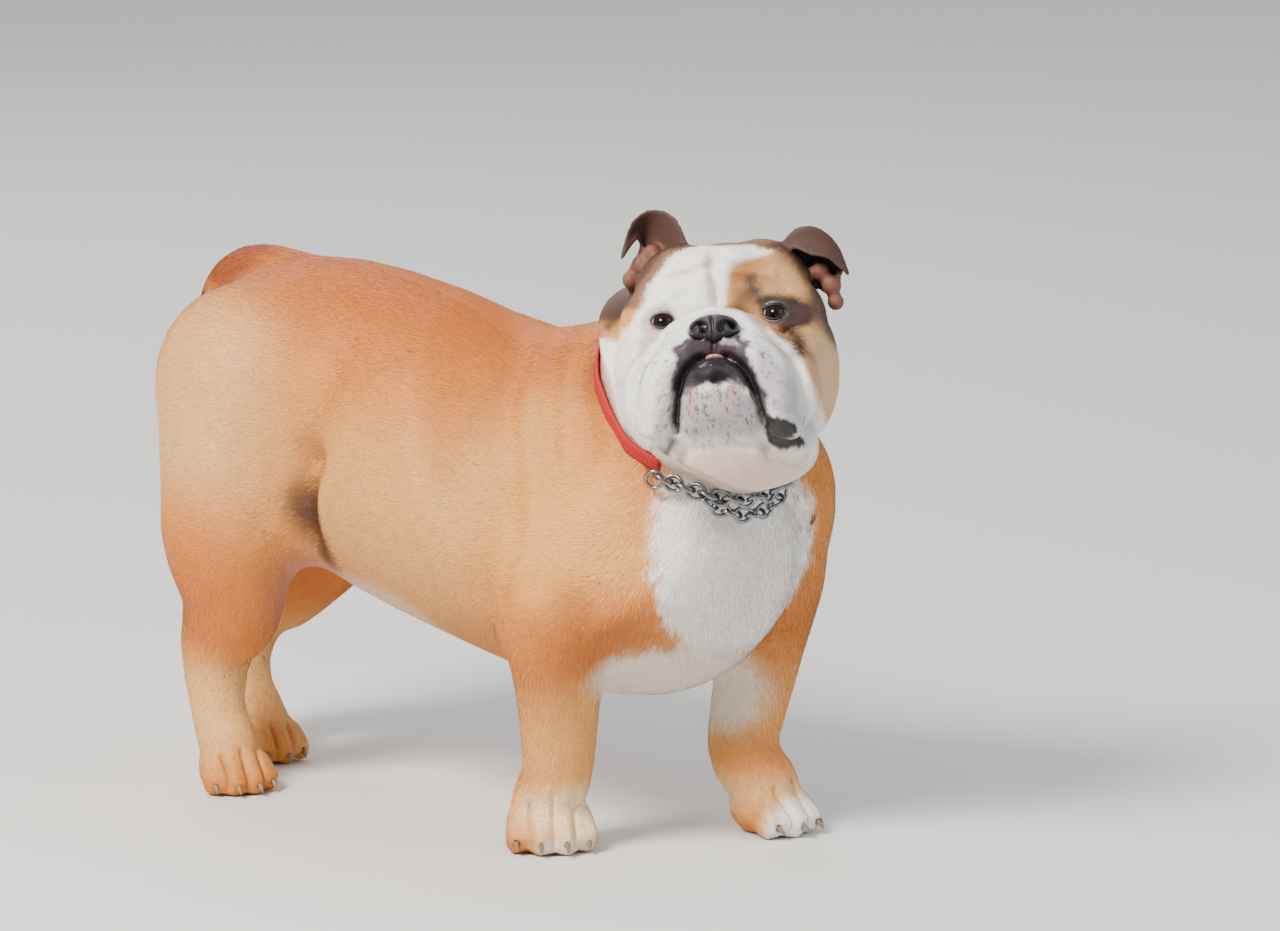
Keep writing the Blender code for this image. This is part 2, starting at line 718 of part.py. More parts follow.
# Each ear's sheet: rows from its base or inner end to its tip, each across the flap
EAR_SHEETS = {
    "right": (
        ((-0.020, 0.029, 0.055), (-0.042, 0.047, 0.040), (-0.058, 0.056, 0.032), (-0.068, 0.061, 0.028)),
        ((-0.028, 0.025, 0.0755), (-0.046, 0.045, 0.062), (-0.060, 0.054, 0.052), (-0.0705, 0.053, 0.046)),
        ((-0.038, 0.026, 0.0840), (-0.0495, 0.043, 0.074), (-0.056, 0.047, 0.066), (-0.0580, 0.043, 0.0600)),
        ((-0.0492, 0.027, 0.0858), (-0.054, 0.038, 0.078), (-0.0570, 0.040, 0.072), (-0.0577, 0.036, 0.0670)),
        ((-0.0600, 0.027, 0.0790), (-0.0605, 0.034, 0.073), (-0.0600, 0.036, 0.069), (-0.0594, 0.032, 0.0655)),
        ((-0.0672, 0.026, 0.0630), (-0.0665, 0.029, 0.061), (-0.0655, 0.030, 0.059), (-0.0640, 0.028, 0.0575)),
        ((-0.0710, 0.027, 0.0500), (-0.0706, 0.028, 0.050), (-0.0702, 0.028, 0.050), (-0.0696, 0.027, 0.0505)),
    ),
    "left": (
        ((0.046, 0.056, 0.034), (0.043, 0.038, 0.050), (0.044, 0.026, 0.052), (0.046, 0.020, 0.046)),
        ((0.059, 0.057, 0.030), (0.055, 0.036, 0.062), (0.054, 0.022, 0.058), (0.053, 0.015, 0.0455)),
        ((0.070, 0.057, 0.022), (0.067, 0.036, 0.0625), (0.066, 0.021, 0.056), (0.065, 0.014, 0.0390)),
        ((0.077, 0.055, 0.016), (0.076, 0.036, 0.0560), (0.077, 0.022, 0.0500), (0.076, 0.016, 0.0365)),
        ((0.081, 0.045, 0.026), (0.083, 0.032, 0.0470), (0.083, 0.023, 0.0420), (0.081, 0.019, 0.0325)),
        ((0.0855, 0.034, 0.031), (0.0870, 0.029, 0.0360), (0.0872, 0.025, 0.0330), (0.0860, 0.023, 0.0285)),
        ((0.0895, 0.029, 0.026), (0.0900, 0.028, 0.0265), (0.0900, 0.027, 0.0260), (0.0895, 0.026, 0.0250)),
    ),
}
EAR_THICKNESS = 0.0030
# The folds of gristle inside each ear's cup: x, y, z and radius
EAR_BURRS = {
    "right": ((-0.049, 0.040, 0.058, 0.0065), (-0.058, 0.044, 0.051, 0.0070), (-0.066, 0.050, 0.042, 0.0070)),
    "left": ((0.069, 0.037, 0.034, 0.0070), (0.076, 0.041, 0.024, 0.0075), (0.078, 0.046, 0.013, 0.0065)),
}


def ear_points(word):
    """The ear's middle surface as a grid of points in head coordinates."""
    rows = np.array([curve_through(row, 4) for row in EAR_SHEETS[word]])
    grid = np.array([curve_through(rows[:, k], 4) for k in range(rows.shape[1])])
    return grid.transpose(1, 0, 2)


def make_ear(head, name, word):
    """A thin rose ear: it rises, folds over and hangs outward at its tip."""
    grid = ear_points(word)
    bm = bmesh.new()
    rows = [[bm.verts.new(HEAD @ Vector(p)) for p in row] for row in grid]
    for low, high in zip(rows, rows[1:]):
        for k in range(len(low) - 1):
            bm.faces.new((low[k], low[k + 1], high[k + 1], high[k]))
    sheet = to_object(bm, name)
    solid = sheet.modifiers.new("thick", "SOLIDIFY")
    solid.thickness = EAR_THICKNESS
    solid.offset = 0
    settle(sheet)
    burr = bmesh.new()
    burr.from_mesh(sheet.data)
    for x, y, z, r in EAR_BURRS[word]:
        ball(burr, HEAD, (x, y, z), (r, r * 1.2, r))
    burr.to_mesh(sheet.data)
    burr.free()
    fuse(sheet, 0.0011, 3)
    thin_out(sheet, EAR_FACES)
    keep_largest(sheet)
    cut_room(sheet, head)
    return sheet


def make_claw(leg, name, frame, toe):
    """One short blunt claw at the tip of a toe."""
    across, ahead = TOES[toe]
    bm = bmesh.new()
    x = across * 1.12
    rows = [
        (x, ahead - 0.0040, 0.0100, 0.0022),
        (x, ahead - 0.0090, 0.0088, 0.0020),
        (x, ahead - 0.0128, 0.0060, 0.0013),
        (x, ahead - 0.0142, 0.0038, 0.0005),
    ]
    tube(bm, frame, rows, sides=7, steps=1)
    claw = to_object(bm, name)
    cut_room(leg, claw)
    return claw


def neck_ring(surface, height, start, stop, count):
    """Points round the neck at this height along the collar's axis, from ray casts."""
    found = []
    for k in range(count):
        a = math.radians(start + (stop - start) * k / (count - 1))
        way = Vector((math.sin(a), -math.cos(a), 0))
        far = COLLAR @ (way * 0.3 + Vector((0, 0, height)))
        aim = COLLAR.to_3x3() @ -way
        hit, point, _, _ = surface.ray_cast(far, aim)
        if hit:
            found.append(COLLAR.inverted() @ point)
    return found


def make_band(surface):
    """The webbing band that rides round the back and sides of the neck."""
    outline = neck_ring(surface, 0, *BAND_SPAN, 41)
    bm = bmesh.new()
    rings = []
    for i, point in enumerate(outline):
        before = outline[max(i - 1, 0)]
        after = outline[min(i + 1, len(outline) - 1)]
        along = (after - before).normalized()
        out = along.cross(Vector((0, 0, 1)))
        if out.dot(point) < 0:
            out = -out
        half = COLLAR_WIDTH / 2
        ring = []
        for height, depth in ((-half, 0), (half, 0), (half, 1), (-half, 1)):
            base = point + out * (0.0012 + COLLAR_THICKNESS * depth)
            ring.append(bm.verts.new(COLLAR @ (base + Vector((0, 0, height)))))
        rings.append(ring)
    for a, b in zip(rings, rings[1:]):
        for k in range(4):
            j = (k + 1) % 4
            bm.faces.new((a[k], a[j], b[j], b[k]))
    bm.faces.new(rings[0])
    bm.faces.new(rings[-1])
    return to_object(bm, "collar_band")


def make_chain(surface):
    """The steel chain that closes the collar in front: oval links, turned in and out."""
    path = neck_ring(surface, 0, *CHAIN_SPAN, CHAIN_LINKS + 2)
    bm = bmesh.new()
    for i in range(1, len(path) - 1):
        along = (path[i + 1] - path[i - 1]).normalized()
        out = Vector((0, 0, 1)).cross(along)
        if out.dot(path[i]) < 0:
            out = -out
        up = along.cross(out)
        tilt = math.radians(38 if i % 2 else -38)
        across = up * math.cos(tilt) + out * math.sin(tilt)
        away = along.cross(across)
        middle = path[i] + out * CHAIN_STAND_OFF
        rings = []
        for k in range(LINK_SEGMENTS):
            a = 2 * math.pi * k / LINK_SEGMENTS
            spoke = along * math.cos(a) * LINK_LENGTH + across * math.sin(a) * LINK_WIDTH
            radial = (along * math.cos(a) / LINK_LENGTH + across * math.sin(a) / LINK_WIDTH)
            radial.normalize()
            ring = []
            for j in range(LINK_SIDES):
                b = 2 * math.pi * j / LINK_SIDES
                offset = (radial * math.cos(b) + away * math.sin(b)) * CHAIN_WIRE
                ring.append(bm.verts.new(COLLAR @ (middle + spoke + offset)))
            rings.append(ring)
        for k in range(LINK_SEGMENTS):
            near, far = rings[k], rings[(k + 1) % LINK_SEGMENTS]
            for j in range(LINK_SIDES):
                n = (j + 1) % LINK_SIDES
                bm.faces.new((near[j], near[n], far[n], far[j]))
    chain = to_object(bm, "collar_chain")
    fuse(chain, 0.0007, 2)
    keep_largest(chain)
    thin_out(chain, CHAIN_FACES)
    return chain


# The upright tubes that part each leg from the trunk: x, y, z, half width, half depth
LEG_REGIONS = {
    "front_left": (
        (0.105, -0.215, -0.020, 0.120, 0.110),
        (0.105, -0.212, 0.070, 0.115, 0.105),
        (0.118, -0.205, 0.115, 0.088, 0.088),
        (0.130, -0.200, 0.160, 0.072, 0.078),
        (0.134, -0.197, 0.205, 0.062, 0.072),
        (0.138, -0.195, 0.245, 0.048, 0.055),
        (0.142, -0.195, 0.268, 0.022, 0.028),
    ),
    "front_right": (
        (-0.118, -0.165, -0.020, 0.110, 0.110),
        (-0.118, -0.165, 0.070, 0.105, 0.105),
        (-0.126, -0.172, 0.115, 0.084, 0.078),
        (-0.138, -0.178, 0.160, 0.072, 0.068),
        (-0.142, -0.180, 0.205, 0.064, 0.062),
        (-0.146, -0.180, 0.240, 0.048, 0.050),
        (-0.150, -0.180, 0.262, 0.022, 0.026),
    ),
    "hind_right": (
        (-0.112, 0.175, -0.020, 0.105, 0.110),
        (-0.112, 0.180, 0.100, 0.100, 0.105),
        (-0.112, 0.178, 0.150, 0.080, 0.095),
        (-0.122, 0.165, 0.200, 0.072, 0.095),
        (-0.124, 0.162, 0.250, 0.064, 0.085),
        (-0.128, 0.162, 0.300, 0.048, 0.062),
        (-0.132, 0.162, 0.325, 0.022, 0.030),
    ),
    "hind_left": (
        (0.092, 0.240, -0.020, 0.106, 0.115),
        (0.094, 0.240, 0.100, 0.098, 0.105),
        (0.105, 0.215, 0.150, 0.078, 0.095),
        (0.120, 0.178, 0.200, 0.072, 0.098),
        (0.124, 0.166, 0.250, 0.064, 0.086),
        (0.128, 0.162, 0.300, 0.048, 0.062),
        (0.132, 0.162, 0.325, 0.022, 0.030),
    ),
}
TAIL_REGION = (
    (0.000, 0.212, 0.374, 0.031),
    (0.000, 0.238, 0.364, 0.028),
    (0.000, 0.258, 0.342, 0.022),
    (0.001, 0.266, 0.318, 0.018),
    (0.001, 0.264, 0.298, 0.014),
)


def paint(obj, hex_colour, roughness, metallic=0.0):
    """Gives the object its own plain material."""
    material = bpy.data.materials.new(obj.name)
    material.use_nodes = True
    shader = material.node_tree.nodes["Principled BSDF"]
    value = [int(hex_colour[i : i + 2], 16) / 255 for i in (1, 3, 5)]
    linear = [c / 12.92 if c <= 0.04045 else ((c + 0.055) / 1.055) ** 2.4 for c in value]
    shader.inputs["Base Color"].default_value = (*linear, 1)
    shader.inputs["Roughness"].default_value = roughness
    shader.inputs["Metallic"].default_value = metallic
    obj.data.materials.clear()
    obj.data.materials.append(material)


def shift_to_origin(nodes):
    """Moves all so that the origin lies under the middle of the whole, on the floor."""
    low = np.full(3, np.inf)
    high = -low
    for obj in nodes:
        points = np.empty(len(obj.data.vertices) * 3, np.float32)
        obj.data.vertices.foreach_get("co", points)
        points = points.reshape(-1, 3)
        low = np.minimum(low, points.min(0))
        high = np.maximum(high, points.max(0))
    middle = (low + high) / 2
    shift = Matrix.Translation((-middle[0], -middle[1], -low[2]))
    for obj in nodes:
        obj.data.transform(shift)


# Colour, roughness and metallic of each piece
COLOURS = {
    "torso": ("#C59A63", 0.75),
    "neck": ("#D0A877", 0.75),
    "tail": ("#8A4F2C", 0.75),
    "leg_front": ("#BF8E55", 0.75),
    "leg_hind": ("#C79D68", 0.75),
    "head": ("#D9C3AB", 0.72),
    "ear": ("#5A3A2A", 0.75),
    "eye": ("#1E120D", 0.12),
    "nose": ("#1B191B", 0.38),
    "tongue": ("#D98A86", 0.35),
    "claw": ("#75604F", 0.45),
    "collar_band": ("#B01420", 0.70),
    "collar_chain": ("#8E9094", 0.28, 1.0),
}


def make_flesh():
    """The trunk with its legs, and the head, worked, thinned and cut apart."""
    flesh = block_out()
    fuse(flesh, BODY_VOXEL, 2, 30)
    head = block_out(with_body=False)
    fuse(head, HEAD_VOXEL, 12)
    head.name = "head"
    for obj, voxel, passes, crease in (
        (head, HEAD_VOXEL, (3, 0), crease_face),
        (flesh, BODY_VOXEL, (1, 26), crease_body),
    ):
        clay = Clay(obj)
        clay.cinch()
        clay.store()
        fuse(obj, voxel, *passes)
        clay = Clay(obj)
        crease(clay)
        clay.store()
    keep_side(flesh, HEAD_CUT - COLLAR_AXIS * GAP / 2, -COLLAR_AXIS)
    keep_side(head, HEAD_CUT + COLLAR_AXIS * GAP / 2, COLLAR_AXIS)
    thin_out(flesh, BODY_FACES)
    thin_out(head, HEAD_FACES)
    keep_side(flesh, Vector((0, 0, 0)), Vector((0, 0, 1)))
    return flesh, head


def main():
    clear_scene()
    flesh, head = make_flesh()
    band = make_band(flesh)
    chain = make_chain(flesh)
    nodes = {"collar_band": band, "collar_chain": chain, "head": head}
    for side, word in ((1, "left"), (-1, "right")):
        nodes["eye_" + word] = make_eye(head, "eye_" + word, side)
        nodes["ear_" + word] = make_ear(head, "ear_" + word, word)
    nodes["nose"] = make_nose(head)
    nodes["tongue"] = make_tongue(head)
    nodes["tail"] = part_off(flesh, TAIL_REGION, "tail")
    for name, rows in LEG_REGIONS.items():
        leg = part_off(flesh, rows, "leg_" + name)
        nodes["leg_" + name] = leg
        for toe in range(4):
            claw = f"claw_{name}_{toe + 1}"
            nodes[claw] = make_claw(leg, claw, leg_paw(name), toe)
    neck = copy_of(flesh, "neck")
    keep_side(neck, NECK_CUT + NECK_AXIS * GAP / 2, NECK_AXIS)
    keep_largest(neck)
    nodes["neck"] = neck
    flesh.name = "torso"
    keep_side(flesh, NECK_CUT - NECK_AXIS * GAP / 2, -NECK_AXIS)
    keep_largest(flesh)
    nodes["torso"] = flesh
    for obj in (neck, flesh):
        cut_room(obj, band)
        cut_room(obj, chain)
    for name, obj in nodes.items():
        key = next(k for k in COLOURS if name.startswith(k))
        paint(obj, *COLOURS[key])
        obj.data.shade_smooth()
    shift_to_origin(nodes.values())


if __name__ == "__main__":
    main()
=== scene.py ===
"""English bulldog, life size: one skin under a short dense coat, its face, and its collar.

Metres, +Z up, in the frame's own axes. Shapes are given in the dog's own coordinates, where
it faces -Y, or in the head's, where the nose points along -Y, and are carried into place.
"""

import logging
import math
from dataclasses import dataclass, field
from enum import Enum

import bmesh
import bpy
import numpy as np
from mathutils import Matrix, Vector
from mathutils.bvhtree import BVHTree


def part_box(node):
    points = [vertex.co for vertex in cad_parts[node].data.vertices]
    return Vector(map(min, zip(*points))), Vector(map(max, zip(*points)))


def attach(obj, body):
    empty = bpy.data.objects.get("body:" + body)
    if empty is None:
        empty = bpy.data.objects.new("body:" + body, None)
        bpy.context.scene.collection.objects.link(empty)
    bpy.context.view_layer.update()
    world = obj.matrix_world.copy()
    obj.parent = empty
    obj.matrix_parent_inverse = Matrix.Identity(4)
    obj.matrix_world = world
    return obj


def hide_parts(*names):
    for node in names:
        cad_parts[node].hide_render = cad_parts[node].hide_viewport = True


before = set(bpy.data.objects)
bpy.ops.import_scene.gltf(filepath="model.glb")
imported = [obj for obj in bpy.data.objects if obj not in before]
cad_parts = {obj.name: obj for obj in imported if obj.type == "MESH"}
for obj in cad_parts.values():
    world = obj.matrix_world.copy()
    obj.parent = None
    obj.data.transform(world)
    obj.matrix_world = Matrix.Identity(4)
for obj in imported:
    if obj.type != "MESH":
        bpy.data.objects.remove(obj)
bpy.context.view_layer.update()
LOG = logging.getLogger("bulldog")


# Small helpers


def linear(colour: str) -> np.ndarray:
    """The linear RGB of an sRGB hex colour."""
    value = np.array([int(colour[i : i + 2], 16) / 255 for i in (1, 3, 5)])
    return np.where(value <= 0.04045, value / 12.92, ((value + 0.055) / 1.055) ** 2.4)


def metres(millimetres: object) -> np.ndarray:
    """Sizes in millimetres as metres."""
    return np.round(np.array(millimetres, float) / 1000, 7)


def ramp(value: np.ndarray, low: float, high: float) -> np.ndarray:
    """Rises smoothly from 0 at low to 1 at high."""
    t = np.clip((value - low) / (high - low), 0, 1)
    return t * t * (3 - 2 * t)


def curve_through(rows: object, steps: int = 8) -> np.ndarray:
    """Rows of numbers on a smooth curve through the given rows."""
    rows = np.array(rows, float)
    padded = np.vstack([2 * rows[0] - rows[1], rows, 2 * rows[-1] - rows[-2]])
    t = (np.arange(steps) / steps)[:, None]
    found = []
    for before, start, end, after in zip(padded, padded[1:], padded[2:], padded[3:]):
        bend = 2 * before - 5 * start + 4 * end - after
        turn = 3 * start - before - 3 * end + after
        found.append(0.5 * (2 * start + (end - before) * t + bend * t**2 + turn * t**3))
    return np.vstack([*found, rows[-1:]])


def noise(points: np.ndarray, cell: float, seed: int = 0) -> np.ndarray:
    """Smooth random values from -1 to 1 that change over about one cell."""
    spot = points / cell + seed * 17.31
    base = np.floor(spot).astype(np.int64)
    part = spot - base
    part = part * part * (3 - 2 * part)
    total = np.zeros(len(points))
    for corner in np.ndindex(2, 2, 2):
        key = (base + corner) @ np.array([73856093, 19349663, 83492791])
        key = (key ^ (key >> 13)) * 1274126177
        value = ((key ^ (key >> 16)) & 0xFFFF) / 32767.5 - 1
        total += value * np.prod(np.where(corner, part, 1 - part), axis=1)
    return total


def select_only(*objects: bpy.types.Object) -> None:
    """Selects these objects and no others, the first one active."""
    bpy.ops.object.select_all(action="DESELECT")
    for obj in objects:
        obj.select_set(True)
    if objects:
        bpy.context.view_layer.objects.active = objects[0]


def weld(obj: bpy.types.Object) -> None:
    """Joins the points of the object's mesh that coincide."""
    select_only(obj)
    bpy.ops.object.mode_set(mode="EDIT")
    bpy.ops.mesh.select_all(action="SELECT")
    bpy.ops.mesh.remove_doubles(threshold=0.00001)
    bpy.ops.object.mode_set(mode="OBJECT")


def link(name: str, mesh: bpy.types.Mesh) -> bpy.types.Object:
    """A new object in the scene for this mesh."""
    obj = bpy.data.objects.new(name, mesh)
    bpy.context.scene.collection.objects.link(obj)
    return obj


def from_bmesh(bm: bmesh.types.BMesh, name: str) -> bpy.types.Object:
    """Turns the working mesh into an object with its faces facing out."""
    bmesh.ops.recalc_face_normals(bm, faces=bm.faces)
    mesh = bpy.data.meshes.new(name)
    bm.to_mesh(mesh)
    bm.free()
    return link(name, mesh)


def finish_with(obj: bpy.types.Object, kind: str, group: str = "", **settings: object) -> None:
    """Adds one modifier with these settings and applies it."""
    select_only(obj)
    modifier = obj.modifiers.new(kind.lower(), kind)
    for name, value in settings.items():
        setattr(modifier, name, value)
    if group:
        modifier.vertex_group = group
    bpy.ops.object.modifier_apply(modifier=modifier.name)


def points_of(mesh: bpy.types.Mesh, what: str = "co") -> np.ndarray:
    """The mesh's points, or its normals, as rows."""
    values = np.empty(len(mesh.vertices) * 3, np.float32)
    mesh.vertices.foreach_get(what, values)
    return values.reshape(-1, 3).astype(float)


def carried(points: np.ndarray, frame_of: Matrix) -> np.ndarray:
    """The points moved by the matrix."""
    matrix = np.array(frame_of)
    return points @ matrix[:3, :3].T + matrix[:3, 3]


def weigh(obj: bpy.types.Object, name: str, weights: np.ndarray) -> None:
    """Gives the object a vertex group with these weights, in twentieths."""
    group = obj.vertex_groups.new(name=name)
    steps = np.rint(np.clip(weights, 0, 1) * 20).astype(int)
    for step in range(21):
        group.add(np.where(steps == step)[0].tolist(), step / 20, "REPLACE")


def store_colours(mesh: bpy.types.Mesh, name: str, rgb: np.ndarray) -> None:
    """Keeps one linear colour for each point of the mesh."""
    layer = mesh.color_attributes.new(name, "FLOAT_COLOR", "POINT")
    rgba = np.ones((len(rgb), 4), np.float32)
    rgba[:, :3] = np.clip(rgb, 0, 1)
    layer.data.foreach_set("color", rgba.ravel())


def store_values(mesh: bpy.types.Mesh, name: str, values: np.ndarray) -> None:
    """Keeps one number for each point of the mesh."""
    layer = mesh.attributes.new(name, "FLOAT", "POINT")
    layer.data.foreach_set("value", values.astype(np.float32))


def ball(
    bm: bmesh.types.BMesh, place: Matrix, centre: tuple, radii: tuple, detail: int = 4
) -> None:
    """Adds an ellipsoid to the working mesh."""
    size = Matrix.Diagonal((*radii, 1))
    matrix = place @ Matrix.Translation(centre) @ size
    bmesh.ops.create_icosphere(bm, subdivisions=detail, radius=1, matrix=matrix)


def tube(bm: bmesh.types.BMesh, place: Matrix, rows: object, sides: int = 12, steps: int = 6,
         closed: bool = False) -> None:
    """Adds a tapered tube through rows of x, y, z and radius, or a ring of them."""
    path = curve_through(rows, steps)
    if closed:
        path = path[:-1]
    count = len(path)
    rings = []
    side = None
    for i, row in enumerate(path):
        ahead = Vector(path[(i + 1) % count if closed else min(i + 1, count - 1)][:3])
        behind = Vector(path[i - 1 if closed else max(i - 1, 0)][:3])
        along = (ahead - behind).normalized()
        if side is None:
            side = Vector((1, 0, 0)) if abs(along.x) < 0.8 else Vector((0, 1, 0))
        side = (side - along * along.dot(side)).normalized()
        over = side.cross(along)
        ring = []
        for k in range(sides):
            a = 2 * math.pi * k / sides
            offset = (side * math.cos(a) + over * math.sin(a)) * row[3]
            ring.append(bm.verts.new(place @ (Vector(row[:3]) + offset)))
        rings.append(ring)
    for low, high in zip(rings, rings[1:] + rings[:1] if closed else rings[1:]):
        for k in range(sides):
            j = (k + 1) % sides
            bm.faces.new((low[k], low[j], high[j], high[k]))
    if not closed:
        bm.faces.new(list(reversed(rings[0])))
        bm.faces.new(rings[-1])


# Where things stand


@dataclass(frozen=True)
class Stance:
    """Where the dog, its head and its collar are in the frame."""

    face: tuple = (-0.045, -0.271, 0.3915)
    face_turn: tuple = (-58.0, -24.0, -6.0)
    eye: tuple = (0.03935, 0.0035, -0.0045)
    collar_centre: tuple = (0.018, -0.208, 0.330)
    collar_axis: tuple = (-0.352, -0.468, 0.809)

    def head_in_dog(self) -> Matrix:
        """The matrix from head coordinates into the dog's."""
        yaw, pitch, roll = (math.radians(a) for a in self.face_turn)
        turn = Matrix.Rotation(yaw, 4, "Z") @ Matrix.Rotation(pitch, 4, "X")
        return Matrix.Translation(self.face) @ turn @ Matrix.Rotation(roll, 4, "Y")

    @property
    def body(self) -> Matrix:
        """The matrix from the dog's coordinates into the frame's."""
        low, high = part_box("eye_left")
        return Matrix.Translation((low + high) / 2 - self.head_in_dog() @ Vector(self.eye))

    @property
    def head(self) -> Matrix:
        """The matrix from head coordinates into the frame's."""
        return self.body @ self.head_in_dog()

    @property
    def collar(self) -> Matrix:
        """The matrix from collar coordinates, +Z along its axis, -Y its lowest front."""
        axis = Vector(self.collar_axis).normalized()
        front = -(Vector((0, 0, 1)) - axis * axis.z).normalized()
        side = (-front).cross(axis)
        turn = Matrix((side, -front, axis)).transposed().to_4x4()
        return self.body @ Matrix.Translation(self.collar_centre) @ turn


STANCE = Stance()
BODY = STANCE.body
HEAD = STANCE.head
COLLAR = STANCE.collar
TO_BODY = BODY.inverted()
TO_HEAD = HEAD.inverted()
TO_COLLAR = COLLAR.inverted()


class Part(Enum):
    """Which coordinates a shape or marking is given in."""

    BODY = 0
    HEAD = 1

    @property
    def place(self) -> Matrix:
        """The matrix of these coordinates."""
        return HEAD if self is Part.HEAD else BODY


def on_head(points: np.ndarray) -> np.ndarray:
    """How far each point belongs to the head: 0 behind the collar, 1 in front of it."""
    local = carried(points, TO_COLLAR)
    near = np.linalg.norm(local, axis=1) < 0.26
    return ramp(local[:, 2], 0.002, 0.012) * near


# Markings, shared by the skin and the coat


@dataclass(frozen=True)
class Patch:
    """A soft-edged area of one colour: an ellipsoid, with a ragged edge.

    Args:
        colour: its sRGB hex colour.
        centre: its middle, in millimetres.
        radii: its half sizes in millimetres; a large one ignores that direction.
        edge: how wide the change of colour is, as a share of the radius.
        part: the coordinates that it is given in.
        both: whether the other side of the body has its mirror image.
        strength: how much of the colour it gives.
        ragged: how far noise moves its edge, as a share of the radius.
    """

    colour: str
    centre: tuple
    radii: tuple
    edge: float = 0.3
    part: Part = Part.BODY
    both: bool = False
    strength: float = 1.0
    ragged: float = 0.08

    def cover(self, local: np.ndarray, wobble: np.ndarray) -> np.ndarray:
        """How much of the colour each point takes.

        Args:
            local: the points in this part's coordinates.
            wobble: a random number from -1 to 1 for each point.

        Returns:
            A share from 0 to 1 for each point.
        """
        found = np.zeros(len(local))
        for side in (1, -1) if self.both else (1,):
            offset = local * (side, 1, 1) - metres(self.centre)
            far = np.linalg.norm(offset / metres(self.radii), axis=1) + wobble * self.ragged
            found = np.maximum(found, 1 - ramp(far, 1 - self.edge / 2, 1 + self.edge / 2))
        return found * self.strength


@dataclass(frozen=True)
class Streak:
    """A soft-edged line of one colour along a curve of x, y, z points, in millimetres."""

    colour: str
    rows: tuple
    width: float
    part: Part = Part.HEAD
    both: bool = False
    strength: float = 1.0
    flat: bool = True

    def cover(self, local: np.ndarray, wobble: np.ndarray) -> np.ndarray:
        """How much of the colour each point takes, as Patch.cover."""
        path = curve_through(metres(self.rows), 5)
        width = metres(self.width)
        found = np.zeros(len(local))
        for side in (1, -1) if self.both else (1,):
            spot = local * (side, 1, 1)
            axes = [0, 2] if self.flat else [0, 1, 2]
            reach = width * 3
            low, high = path[:, axes].min(0) - reach, path[:, axes].max(0) + reach
            near = np.where(np.all((spot[:, axes] > low) & (spot[:, axes] < high), axis=1))[0]
            if self.flat:
                near = near[spot[near, 1] < path[:, 1].max() + 0.03]
            if not len(near):
                continue
            away = distance_to(spot[near][:, axes], path[:, axes]) / width
            fade = np.exp(-((away + wobble[near] * 0.25) ** 2))
            found[near] = np.maximum(found[near], fade)
        return found * self.strength


def distance_to(points: np.ndarray, path: np.ndarray) -> np.ndarray:
    """How far each point lies from a line through the path's points."""
    steps = path[1:] - path[:-1]
    best = np.full(len(points), np.inf)
    for start, step in zip(path, steps):
        gap = points - start
        t = np.clip(gap @ step / max(step @ step, 1e-12), 0, 1)
        best = np.minimum(best, np.linalg.norm(gap - t[:, None] * step, axis=1))
    return best


@dataclass(frozen=True)
class Area:
    """A soft-edged area of one colour inside an outline of x and z on the front of the head.

    All sizes are in millimetres.

    Args:
        colour: its sRGB hex colour.
        rows: the outline's corners, which a smooth curve goes through.
        edge: how wide the change of colour is.
        back: how far back along Y the area reaches.
        strength: how much of the colour it gives.
        ragged: how far noise moves its edge.
    """

    colour: str
    rows: tuple
    edge: float = 4
    back: float = 20
    strength: float = 1.0
    ragged: float = 1.6

    def cover(self, local: np.ndarray, wobble: np.ndarray) -> np.ndarray:
        """How much of the colour each point takes, as Patch.cover."""
        path = curve_through(metres((*self.rows, self.rows[0])), 4)
        edge, back, ragged = metres((self.edge, self.back, self.ragged))
        low, high = path.min(0) - edge, path.max(0) + edge
        flat = local[:, [0, 2]]
        near = np.all((flat > low) & (flat < high), axis=1) & (local[:, 1] < back + 0.02)
        near = np.where(near)[0]
        found = np.zeros(len(local))
        spots = flat[near]
        inside = np.zeros(len(near), bool)
        for (x0, z0), (x1, z1) in zip(path, path[1:]):
            over = (z0 > spots[:, 1]) != (z1 > spots[:, 1])
            inside ^= over & (spots[:, 0] < x0 + (spots[:, 1] - z0) * (x1 - x0) / (z1 - z0 + 1e-12))
        depth = distance_to(spots, path) * np.where(inside, 1, -1) + wobble[near] * ragged
        fade = 1 - ramp(local[near, 1], back, back + 0.02)
        found[near] = ramp(depth, -edge / 2, edge / 2) * fade
        return found * self.strength


